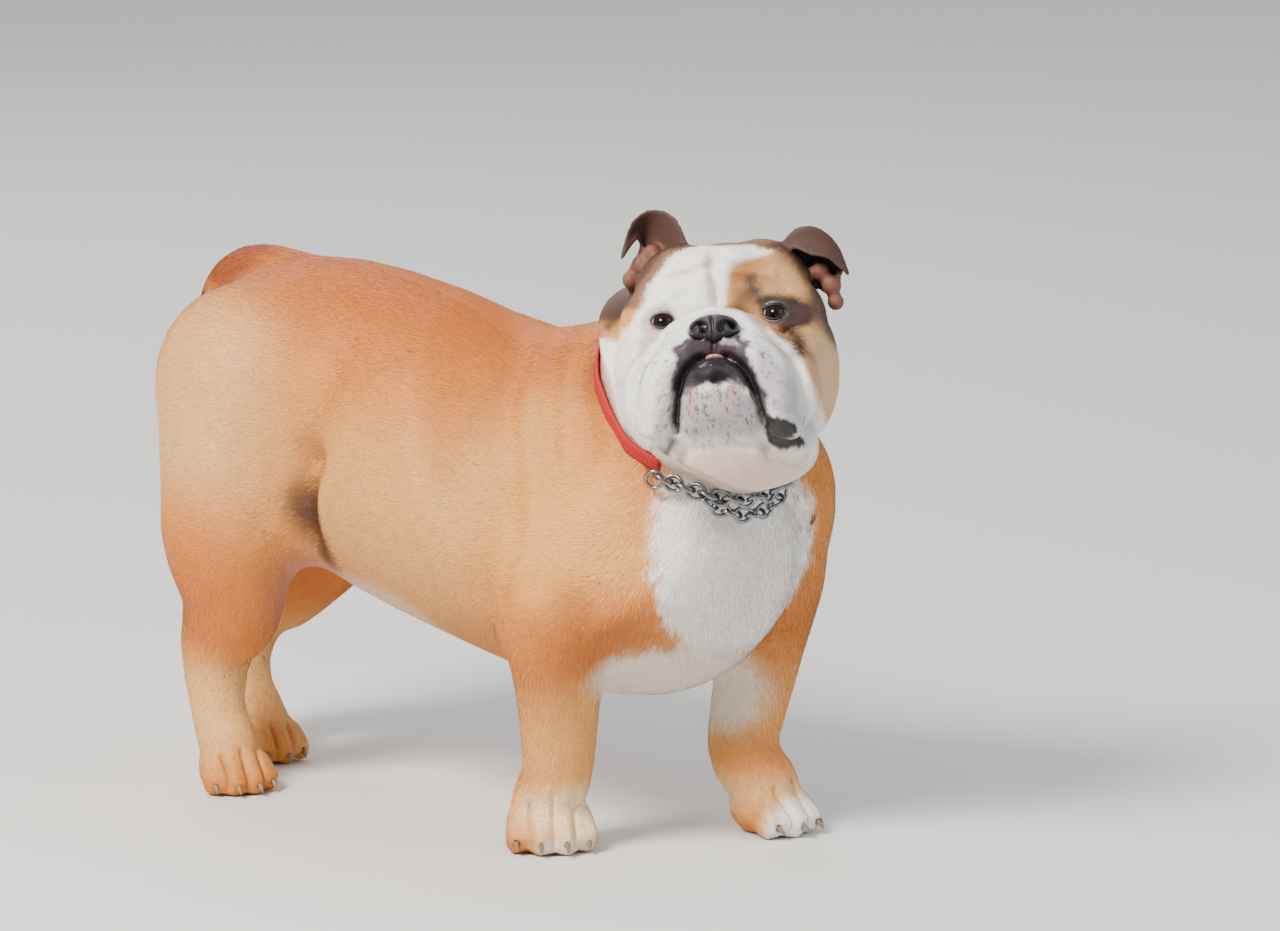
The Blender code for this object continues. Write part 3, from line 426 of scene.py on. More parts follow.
BODY_MARKS = (
    Patch("#D48E40", (0, 20, 400), (105, 240, 80), 1.1, ragged=0.12),
    Patch("#E5B97E", (122, -10, 215), (60, 120, 80), 1.1, both=True),
    Patch("#E9C293", (112, 175, 290), (60, 80, 95), 1.1, both=True),
    Patch("#E6B776", (100, -130, 300), (60, 50, 60), 1, both=True),
    Patch("#DC9643", (85, 170, 150), (70, 60, 70), 1, both=True, strength=0.8),
    Patch("#F0CA94", (60, 200, 55), (80, 80, 50), 1, both=True),
    Patch("#EBBA74", (110, -190, 235), (55, 60, 60), 1, both=True),
    Patch("#CE8C3E", (102, -205, 152), (40, 48, 42), 1.2, both=True, strength=0.8),
    Patch("#EBBC7E", (85, -185, 80), (60, 60, 55), 0.9, both=True),
    Patch("#F7E0BA", (85, -200, 30), (60, 70, 22), 1, both=True),
    Patch("#ECDBC5", (0, 240, 245), (125, 42, 85), 0.9, strength=0.9),
    Patch("#EDE8E2", (-4, -285, 222), (88, 92, 94), 0.14),
    Patch("#E2D8CC", (-30, -215, 132), (70, 70, 26), 0.5),
    Patch("#E5DCCF", (0, -170, 105), (70, 110, 40), 0.5),
    Patch("#D3A79A", (0, 70, 150), (98, 85, 52), 0.6, strength=0.9),
    Patch("#EAD5C0", (85, 20, 148), (30, 60, 26), 0.8, both=True, strength=0.8),
    Patch("#643F2F", (100, 66, 200), (26, 22, 42), 0.8, both=True, strength=0.85),
    Patch("#B97336", (0, 215, 378), (40, 40, 22), 0.7),
    Patch("#2B2321", (0, 262, 330), (30, 26, 34), 0.4),
    Patch("#F2EEE8", (62, -272, 6), (45, 28, 26), 0.5),
    Patch("#EDDFCA", (-110, -188, 4), (30, 24, 12), 0.6),
    Patch("#824F25", (-60, -160, 345), (40, 30, 30), 0.9, strength=0.35),
)
HEAD_MARKS = (
    Patch("#C9A070", (0, 85, 0), (120, 45, 75), 0.6, Part.HEAD),
    Area("#7E5233", ((-36, 50), (-28, 47.5), (-15, 50.5), (0, 49), (10, 48), (22, 47.5), (36, 43),
        (60, 50), (50, 90), (-36, 90)), 4, 140),
    Area("#4E3020", ((-10, 62), (-22, 51), (-32.5, 43), (-41.5, 29.6), (-50, 19), (-54, 7), (-61, 3),
        (-76, 4), (-95, 4), (-95, 80), (-10, 80)), 6, 90),
    Area("#8E6440", ((-26, 52), (-32.5, 43), (-41.5, 29.6), (-50, 19), (-54, 7), (-60, 10), (-58, 22),
        (-48, 34), (-36, 48)), 8, 60, strength=0.8),
    Area("#D9964E", ((-56, 6), (-61, -3), (-72, -6), (-84, -2), (-92, 10), (-80, 13), (-68, 10)),
        8, 90),
    Area("#C08E5B", ((40, 41), (28.6, 36), (17.8, 31.8), (11.5, 25), (8.8, 16), (6.8, 5), (9, -10),
        (20, -10.5), (30, -18), (41, -27), (50, -32), (57, -43), (62, -54), (67, -66), (69, -75),
        (85, -80), (110, -60), (110, 60), (60, 70)), 5, 120),
    Patch("#A66E39", (20, 0, 16), (12, 80, 20), 1, Part.HEAD, strength=0.8),
    Patch("#CFA06A", (50, 0, 20), (14, 80, 10), 1, Part.HEAD, strength=0.9),
    Patch("#D2AB82", (78, 20, -46), (22, 60, 34), 1, Part.HEAD, strength=0.9),
    Area("#3E261B", ((36, 47), (50, 36), (58, 24), (64, 6), (68, -12), (80, -22), (98, 0), (100, 50),
        (60, 75)), 12, 100),
    Area("#251712", ((29, 1), (36, 7.5), (46, 6.5), (56, 4), (64, -4), (62, -14), (54, -17),
        (46, -17.5), (37, -15), (30, -8)), 6),
    Streak("#3A251B", ((48, -20, -16), (54, -20, -28), (57, -20, -40)), 6.2),
    Streak("#452C1F", ((58, -20, -6), (68, -20, 0)), 8, strength=0.8),
    Streak("#2A1B15", ((23.5, -20, 18), (26, -20, 10), (30, -20, 4)), 5, strength=0.9),
    Streak("#5A3A26", ((20, -20, 8), (15, -20, 0), (14, -20, -6)), 5, strength=0.6),
    Streak("#2E1B11", ((-45, 50, 55), (-62, 60, 38), (-74, 60, 20), (-82, 60, 8)), 6, strength=0.9),
    Streak("#C9A27C", ((-2, 0, 36), (-5, 0, 22), (-4, 0, 6)), 3, strength=0.55),
    Streak("#CBA377", ((-4, 0, 34.5), (-16, 0, 29), (-30, 0, 27)), 3, strength=0.5),
    Patch("#E3D2BE", (0, 20, -125), (110, 120, 28), 0.8, Part.HEAD),
    Patch("#D9B0A6", (0, -10, -118), (40, 50, 16), 1, Part.HEAD, strength=0.5),
    Area("#A39BA4", ((30, -38), (44, -50), (56, -66), (60, -82), (54, -94), (36, -84), (28, -64)),
        12, strength=0.75),
    Area("#B9B4B8", ((-30, -46), (-38, -60), (-44, -80), (-46, -96), (-34, -96), (-30, -70)),
        10, strength=0.6),
    Area("#3A2E38", ((-13, -27), (-23, -36), (-28.5, -50), (-30.5, -64), (-32.5, -80), (-29, -92),
        (-24, -72), (-16, -66), (0, -66.5), (16, -66), (25, -74), (29, -92), (37, -94), (34, -74),
        (28.5, -60), (27.5, -50), (24.5, -38), (14, -28)), 6, ragged=4.5),
    Area("#3D303B", ((-10, -34), (-21, -41), (-24, -52), (-12, -48), (0, -44), (12, -47), (23, -52),
        (21, -42), (10, -34)), 6, strength=0.8),
    Area("#B3ACAE", ((-23.5, -71), (-15, -67.5), (0, -69), (15, -67.5), (24.5, -74), (29, -90),
        (16, -97), (-16, -97), (-28, -90)), 9, ragged=5),
    Streak("#C89A94", ((-17, -60, -72), (-19, -60, -82)), 4, strength=0.8),
    Streak("#C89A94", ((12, -60, -69), (9, -60, -80)), 3.4, strength=0.8),
    Streak("#17131A", ((0, -60, -45.5), (10, -60, -47), (21, -60, -56), (27, -60, -70), (31, -50, -84)),
        2.6, both=True, strength=0.9),
    Patch("#17131A", (0, -62, -56), (17.5, 30, 6.2), 0.4, Part.HEAD, ragged=0.03),
    Area("#120F13", ((33, -86), (42, -90.5), (52, -92.5), (54, -97), (47, -102.5), (37, -104),
        (30.5, -98)), 2.6),
    Streak("#2B2427", ((-34, -40, -95), (-41, -30, -99), (-50, -30, -95)), 2.8, strength=0.85),
    Patch("#141215", (1.5, -50, -25.5), (18.5, 30, 10.5), 0.25, Part.HEAD, ragged=0.03),
    Streak("#A96F66", ((-30, -20, -8), (-36, -20, 4), (-48, -20, 1), (-52, -20, -8), (-46, -20, -13),
        (-36, -20, -13)), 3, strength=0.6),
    Streak("#2A1B1B", ((-31, -20, -6), (-35, -20, 0.8), (-42, -20, 1.2), (-48, -20, -4),
        (-45, -20, -10), (-37, -20, -10.5), (-31, -20, -6)), 1.6, strength=0.85),
    Streak("#C08C84", ((-50, -20, -14), (-53, -20, -32)), 4.5, strength=0.5),
)
EAR_TREES = [
    BVHTree.FromPolygons([v.co for v in mesh.vertices], [p.vertices for p in mesh.polygons])
    for mesh in (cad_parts[name].data for name in ("ear_left", "ear_right"))
]
EAR_MARKS = {
    "outside": "#43291F",
    "inside": "#6E4530",
    "gristle": "#7A493B",
}


class Markings:
    """The colours of the coat, for any points of the skin."""

    base_body = "#DDA158"
    base_head = "#F7F4F1"

    def __init__(self, points: np.ndarray) -> None:
        """Works out the colours.

        Args:
            points: places on the skin, in the frame.
        """
        self.body = carried(points, TO_BODY)
        self.head = carried(points, TO_HEAD)
        self.face = on_head(points)
        wobble = 0.6 * noise(points, 0.007, 1) + 0.4 * noise(points, 0.0028, 2)
        broad = noise(points, 0.045, 3) * 0.6 + noise(points, 0.018, 4) * 0.4
        body = np.tile(linear(self.base_body), (len(points), 1))
        body *= (1 + 0.07 * broad)[:, None]
        for mark in BODY_MARKS:
            body = self.lay(body, mark, self.body, wobble)
        body = self.deepened(np.clip(body, 0.001, 1))
        self.colour = body
        near = np.where(self.face > 0)[0]
        head = np.tile(linear(self.base_head), (len(near), 1))
        for mark in HEAD_MARKS:
            head = self.lay(head, mark, self.head[near], wobble[near])
        face = self.face[near, None]
        self.colour[near] = body[near] * (1 - face) + head * face
        self.paint_ears(wobble)
        self.tick_muzzle(points)

    @staticmethod
    def deepened(colours: np.ndarray) -> np.ndarray:
        """Makes the tans deeper, and leaves the whites as they are."""
        tint = 1 - colours.min(1) / colours.max(1)
        power = 1 + 0.6 * np.clip(tint * 1.6, 0, 1)
        return colours ** power[:, None]

    @staticmethod
    def lay(under: np.ndarray, mark: object, local: np.ndarray, wobble: np.ndarray) -> np.ndarray:
        """Lays one marking over the colours so far."""
        cover = mark.cover(local, wobble)[:, None]
        return under * (1 - cover) + linear(mark.colour) * cover

    def paint_ears(self, wobble: np.ndarray) -> None:
        """Colours the ears: dark velvet outside, tan inside and pink gristle folds."""
        self.ears = np.zeros(len(self.head))
        near = np.where(np.abs(self.head[:, 0]) + 0.9 * self.head[:, 2] > 0.075)[0]
        for index in near[self.face[near] > 0.5]:
            spot = HEAD @ Vector(self.head[index])
            far = min(tree.find_nearest(spot)[3] for tree in EAR_TREES)
            self.ears[index] = 1 - float(ramp(np.array(far), 0.0016, 0.0036))
        cover = self.ears[:, None]
        dark = linear(EAR_MARKS["outside"])
        self.colour = self.colour * (1 - cover) + dark * cover
        for folds in (((-0.049, 0.036, 0.058), (-0.058, 0.040, 0.051), (-0.066, 0.046, 0.042)),
                      ((0.069, 0.033, 0.034), (0.076, 0.037, 0.024), (0.078, 0.042, 0.013))):
            far = distance_to(self.head, curve_through(folds, 4))
            inside = (1 - ramp(far, 0.006, 0.012))[:, None] * self.face[:, None]
            self.colour = self.colour * (1 - inside) + linear(EAR_MARKS["inside"]) * inside
            pink = (1 - ramp(far + wobble * 0.002, 0.0015, 0.0070))[:, None] * self.face[:, None]
            self.colour = self.colour * (1 - pink) + linear(EAR_MARKS["gristle"]) * pink

    def tick_muzzle(self, points: np.ndarray) -> None:
        """Peppers the muzzle and chin with dark hairs, thicker near the lips."""
        x, y, z = self.head.T
        front = ramp(-y, 0.012, 0.030) * ramp(-z, 0.028, 0.050) * self.face
        near = 1 - ramp(np.abs(x), 0.030, 0.058)
        specks = ramp(noise(points, 0.0016, 7) + 0.5 * noise(points, 0.004, 8), 0.25, 0.6)
        dark = (specks * front * (0.10 + 0.60 * near))[:, None]
        self.colour = self.colour * (1 - dark) + linear("#2A2427") * dark


# Folds worked into the skin


@dataclass(frozen=True)
class Fold:
    """A ridge (depth above 0) or crease along a curve laid on the skin along push, in millimetres."""

    rows: tuple
    width: float
    depth: float
    part: Part = Part.HEAD
    both: bool = True
    push: tuple = (0, -1, 0)


def on_face(width: float, depth: float, *rows: tuple, both: bool = True) -> Fold:
    """A fold of the head through rows of x and z, seen from its front."""
    return Fold(tuple((x, 0, z) for x, z in rows), width, depth, both=both)


def on_flank(width: float, depth: float, *rows: tuple) -> Fold:
    """A fold on both sides of the trunk through rows of y and z, seen from the side."""
    return Fold(tuple((0, y, z) for y, z in rows), width, depth, Part.BODY, push=(1, 0, 0.25))


FOLDS = (
    on_face(3.4, -3.4, (1, 6), (0, 18), (-4, 30), (-3, 42), both=False),
    on_face(3, -2.4, (-3, 33), (-14, 27), (-32, 26), both=False),
    on_face(3, -2.8, (8, 36), (20, 32), (36, 33), both=False),
    on_face(3.4, 2.2, (6, 27), (20, 24), (40, 22), both=False),
    on_face(4, 1.6, (-8, 20), (-22, 18), (-40, 14), both=False),
    on_face(2.6, -3, (0, -2), (18, -6), (31, -19), (47, -39)),
    on_face(1.8, -4.5, (0, -45.5), (10, -47), (21, -56), (27, -70), (31, -90)),
    on_face(3.2, 2.4, (0, -57), (9, -58), (17, -63)),
    on_face(2.2, -2.2, (0, -63), (10, -64), (19, -70)),
    on_face(1.2, -2.6, (1.2, -34), (0.6, -40), (0, -45.5), both=False),
    on_face(2.4, -2.4, (30, -17), (40, -21.5), (52, -18)),
    on_face(2.6, 1.6, (28, 4.5), (38, 8.5), (50, 4.5)),
    on_face(4.2, -4.2, (45, -22), (52, -40), (56, -62), (54, -84)),
    on_face(3.6, -7, (60, -88), (55, -104.5), (44, -111), (32, -108), (27, -96)),
    on_face(8, 2.4, (40, -96), (42, -82)),
    on_face(3.6, -4, (-30, -100), (0, -101), (30, -100), both=False),
    on_face(7, 2.2, (-18, -86), (0, -88), (18, -86), both=False),
    on_flank(10.5, 4.6, (-62, 352), (-83.6, 330), (-104, 298), (-134, 249), (-160, 212)),
    on_flank(8.5, -2.6, (-46, 352), (-68, 328), (-89, 296), (-118, 247), (-144, 206)),
    on_flank(9.5, 3.6, (-94, 352), (-114, 336), (-140, 302), (-160, 265)),
    on_flank(7.5, -2.4, (-80, 350), (-101, 330), (-124, 298), (-148, 258)),
    on_flank(8.5, 3.4, (-126, 352), (-150, 325), (-172, 302), (-196, 275)),
    on_flank(7, -2.2, (-112, 350), (-134, 322), (-158, 292), (-182, 262)),
    on_flank(9, -1.8, (-30, 352), (-46, 328), (-60, 300)),
    on_flank(9, -1.6, (-6, 360), (-22, 338), (-36, 312)),
    on_flank(9, -1.4, (18, 366), (4, 345), (-10, 322)),
    on_flank(20, -6, (44, 310), (48, 270), (52, 235)),
    on_flank(15, -16, (58, 232), (64, 212), (72, 180)),
    on_flank(20, -5, (-118, 232), (-114, 200), (-122, 168)),
    on_flank(24, 4.5, (-190, 215), (-200, 250)),
    on_flank(7.5, -2.6, (-150, 186), (-146, 162), (-156, 146)),
)


class Clay:
    """A mesh's points and normals, held while folds and hollows are worked into them."""

    def __init__(self, obj: bpy.types.Object) -> None:
        """Takes the points of the object's mesh."""
        self.mesh = obj.data
        self.points = points_of(self.mesh)
        self.normals = points_of(self.mesh, "normal")

    def work(self, fold: Fold, place: Matrix) -> None:
        """Raises or sinks the skin along one fold.

        Args:
            fold: the fold.
            place: the matrix of its coordinates.
        """
        width, depth = metres((fold.width, fold.depth))
        for side in (1, -1) if fold.both else (1,):
            path = curve_through(metres(fold.rows) * (side, 1, 1), 5)
            path = carried(path, place)
            way = place.to_3x3() @ Vector((fold.push[0] * side, *fold.push[1:]))
            way = np.array(way.normalized())
            across = path - np.outer(path @ way, way)
            facing = self.normals @ way
            flat = self.points - np.outer(self.points @ way, way)
            low, high = across.min(0) - width * 3, across.max(0) + width * 3
            near = np.all((flat > low) & (flat < high), axis=1) & (facing > 0.05)
            middle = path.mean(0)
            near &= np.linalg.norm(self.points - middle, axis=1) < 0.17
            near = np.where(near)[0]
            if not len(near):
                continue
            away = distance_to(flat[near], across)
            fade = np.exp(-((away / width) ** 2)) * np.minimum(facing[near] * 2.5, 1)
            self.points[near] += way * (fade * depth)[:, None]

    def store(self) -> None:
        """Writes the points back."""
        self.mesh.vertices.foreach_set("co", self.points.astype(np.float32).ravel())
        self.mesh.update()


@dataclass
class Skin:
    """The one closed skin over trunk, legs, tail, head and ears, a coat's depth inside the solids."""

    flesh: tuple = (
        "torso", "neck", "head", "tail", "leg_front_left", "leg_front_right",
        "leg_hind_left", "leg_hind_right", "ear_left", "ear_right",
    )
    voxel: float = 0.0014
    body_smoothing: int = 60
    face_smoothing: int = 7
    triangles: int = 184000
    coat_depth: float = 0.0009
    face_depth: float = 0.0004
    lid_thickness: float = 0.0014
    eye_opening: tuple = (0.0082, 0.0058)
    upper_lid: float = 0.80
    paws: tuple = (
        ((-0.088, -0.152), -44, 1.0), ((0.057, -0.234), 8, 1.0),
        ((-0.081, 0.156), -26, 0.88), ((0.017, 0.213), -30, 0.88),
    )

    def build(self) -> bpy.types.Object:
        """Fuses copies of the solids, works the folds in and thins the mesh."""
        skin = self.fused()
        LOG.info("skin fused: %d points", len(skin.data.vertices))
        self.smooth(skin)
        clay = Clay(skin)
        for fold in FOLDS:
            clay.work(fold, fold.part.place)
        self.part_toes(clay)
        self.wrap_lids(clay)
        self.sink(clay)
        clay.store()
        finish_with(skin, "SMOOTH", factor=0.5, iterations=1)
        self.thin(skin)
        skin.data.shade_smooth()
        self.unwrap(skin)
        return skin

    def fused(self) -> bpy.types.Object:
        """One closed mesh of all flesh, with the rooms of the eyes and nose filled."""
        plugs = bmesh.new()
        for side in (1, -1):
            x, y, z = STANCE.eye
            ball(plugs, HEAD, (x * side, y + 0.0012, z), (0.0118, 0.0118, 0.0118))
        ball(plugs, HEAD, (0.0015, -0.046, -0.0255), (0.0155, 0.0115, 0.0080))
        ball(plugs, HEAD, (0.001, -0.046, -0.047), (0.0075, 0.0085, 0.0040))
        whole = from_bmesh(plugs, "skin")
        copies = [link(n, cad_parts[n].data.copy()) for n in self.flesh]
        select_only(whole, *copies)
        bpy.ops.object.join()
        weld(whole)
        whole.data.materials.clear()
        finish_with(whole, "REMESH", mode="VOXEL", voxel_size=self.voxel)
        return self.largest(whole)

    @staticmethod
    def largest(obj: bpy.types.Object) -> bpy.types.Object:
        """Keeps only the largest closed surface of the object."""
        select_only(obj)
        bpy.ops.mesh.separate(type="LOOSE")
        parts = sorted(bpy.context.selected_objects, key=lambda o: len(o.data.vertices))
        for spare in parts[:-1]:
            bpy.data.objects.remove(spare)
        parts[-1].name = "skin"
        return parts[-1]

    def smooth(self, skin: bpy.types.Object) -> None:
        """Softens the trunk a lot, the face and ears a little."""
        points = points_of(skin.data)
        body = carried(points, TO_BODY)
        trunk = (1 - on_head(points)) * ramp(body[:, 2], 0.035, 0.09)
        trunk *= 1 - ramp(body[:, 1], 0.225, 0.245) * (body[:, 2] > 0.2) * 0.8
        weigh(skin, "trunk", trunk)
        head = carried(points, TO_HEAD)
        ears = (np.abs(head[:, 0]) + 0.9 * head[:, 2] > 0.098) & (on_head(points) > 0.5)
        feet = ramp(body[:, 2], 0.020, 0.050)
        weigh(skin, "soft", np.where(ears, 0.6, 0.35 + 0.65 * feet))
        finish_with(skin, "SMOOTH", "trunk", factor=0.5, iterations=self.body_smoothing)
        finish_with(skin, "SMOOTH", "soft", factor=0.5, iterations=self.face_smoothing)

    def part_toes(self, clay: Clay) -> None:
        """Sinks the grooves between the toes of each paw."""
        for (x, y), turn, size in self.paws:
            place = BODY @ Matrix.Translation((x, y, 0))
            place = place @ Matrix.Rotation(math.radians(turn), 4, "Z") @ Matrix.Scale(size, 4)
            for at in (-15.8, 0, 15.8):
                rows = ((at, -10, 30), (at, -26, 20), (at * 1.1, -38, 6))
                groove = Fold(rows, 2, -3.6, both=False, push=(0, -0.75, 0.65))
                clay.work(groove, place)

    def wrap_lids(self, clay: Clay) -> None:
        """Fits the lids round the eyeballs and opens an almond in front of each."""
        local = carried(clay.points, TO_HEAD)
        radius = eye_radius()
        for side in (1, -1):
            centre = np.array(STANCE.eye) * (side, 1, 1)
            gap = local - centre
            far = np.linalg.norm(gap, axis=1)
            front = (gap[:, 1] < -0.002) & (far < radius + 0.012)
            wide, high = self.eye_opening
            tall = np.where(gap[:, 2] > 0, high * self.upper_lid, high)
            almond = np.hypot(gap[:, 0] / wide, gap[:, 2] / (tall * self.lid_shape(gap[:, 0] / wide)))
            lid = radius + self.lid_thickness
            inside = radius - 0.0022
            target = np.where(almond < 1, inside, lid)
            hold = 1 - ramp(almond, 1.15, 1.75)
            pull = np.where(almond < 1, 1.0, hold) * front
            scale = 1 + (target / np.maximum(far, 1e-6) - 1) * pull
            local = np.where(front[:, None], centre + gap * scale[:, None], local)
        clay.points = carried(local, HEAD)

    @staticmethod
    def lid_shape(across: np.ndarray) -> np.ndarray:
        """How the opening narrows towards its corners."""
        return np.sqrt(np.clip(1.05 - 0.45 * across**2, 0.2, 1))

    def sink(self, clay: Clay) -> None:
        """Draws the skin in by the coat's depth, less on the face, not at the soles."""
        face = on_head(clay.points)
        depth = self.coat_depth * (1 - face) + self.face_depth * face
        depth *= ramp(clay.points[:, 2], 0.001, 0.006)
        clay.points -= clay.normals * depth[:, None]
        clay.points[:, 2] = np.maximum(clay.points[:, 2], 0)

    def thin(self, skin: bpy.types.Object) -> None:
        """Collapses the trunk's small faces until the skin is light enough."""
        points = points_of(skin.data)
        head = carried(points, TO_HEAD)
        fine = on_head(points) * (1 - ramp(head[:, 1], 0.045, 0.085))
        weigh(skin, "coarse", 1 - fine)
        faces = sum(len(p.vertices) - 2 for p in skin.data.polygons)
        LOG.info("skin before thinning: %d triangles", faces)
        finish_with(
            skin, "DECIMATE", "coarse", ratio=min(1, self.triangles / faces),
            vertex_group_factor=1.0, use_collapse_triangulate=True,
        )
        skin.vertex_groups.clear()

    @staticmethod
    def unwrap(skin: bpy.types.Object) -> None:
        """Unwraps the skin by its own shape."""
        skin.data.uv_layers.new(name="OFBake")
        select_only(skin)
        bpy.ops.object.mode_set(mode="EDIT")
        bpy.ops.mesh.select_all(action="SELECT")
        bpy.ops.uv.smart_project(angle_limit=math.radians(66), island_margin=0.0015)
        bpy.ops.object.mode_set(mode="OBJECT")

    @staticmethod
    def paint(skin: bpy.types.Object) -> Markings:
        """Stores the markings and the wet places on the skin's points."""
        marks = Markings(points_of(skin.data))
        store_colours(skin.data, "coat", marks.colour * 0.93)
        store_values(skin.data, "wet", bare_places(marks.head, marks.face))
        return marks


def eye_radius() -> float:
    """The eyeball's radius, from its solid."""
    low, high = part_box("eye_left")
    return (high - low).x / 2


def bare_places(head: np.ndarray, face: np.ndarray) -> np.ndarray:
    """Where the skin is bare and damp: lips, the pad's surround and the lids' edges.

    Args:
        head: points in head coordinates.
        face: how far each point belongs to the head.

    Returns:
        1 where the skin is bare, 0 where the coat grows.
    """
    flat = head[:, [0, 2]]
    mirrored = np.abs(flat[:, 0])[:, None] * (1, 0) + flat[:, 1][:, None] * (0, 1)
    mouth = curve_through(((0.0, -0.0455), (0.010, -0.0470), (0.021, -0.0560), (0.027, -0.070),
                           (0.030, -0.088)), 5)
    lips = 1 - ramp(distance_to(mirrored, mouth), 0.0022, 0.0040)
    lower = 1 - ramp(np.hypot(flat[:, 0] / 0.017, (flat[:, 1] + 0.0545) / 0.0055), 0.8, 1.2)
    upper = 1 - ramp(np.hypot(flat[:, 0] / 0.021, (flat[:, 1] + 0.0400) / 0.0090), 0.8, 1.2)
    pad = 1 - ramp(np.hypot((flat[:, 0] - 0.0015) / 0.019, (flat[:, 1] + 0.0255) / 0.0100), 0.9, 1.1)
    lobe = 1 - ramp(np.hypot((flat[:, 0] - 0.041) / 0.0115, (flat[:, 1] + 0.101) / 0.010), 0.85, 1.1)
    found = np.maximum.reduce([lips, lower, upper, pad, lobe])
    found *= (head[:, 1] < 0.0) * face
    gap = np.abs(head[:, 0]) - STANCE.eye[0]
    lid = np.hypot(gap / 0.0088, (head[:, 2] - STANCE.eye[2]) / 0.0068)
    lids = (1 - ramp(lid, 1.0, 1.18)) * (head[:, 1] < 0.012) * face
    return np.maximum(found, lids)


# The coat


@dataclass(frozen=True)
class Hair:
    """How the coat grows in one region: a tuft's length and width, and how dense they are."""

    length: float
    width: float
    cover: float


class Region(Enum):
    """The regions of the coat, each one piece."""

    FACE = Hair(0.0032, 0.00055, 0.85)
    SKULL = Hair(0.0044, 0.00065, 1.0)
    NECK = Hair(0.0085, 0.00085, 1.5)
    CHEST = Hair(0.0095, 0.00085, 1.5)
    FLANK_LEFT = Hair(0.0082, 0.00085, 1.4)
    FLANK_RIGHT = Hair(0.0082, 0.00084, 1.5)
    RUMP = Hair(0.0080, 0.00085, 1.5)
    LEGS_FRONT = Hair(0.0060, 0.00080, 1.3)
    LEGS_HIND = Hair(0.0061, 0.00080, 1.3)


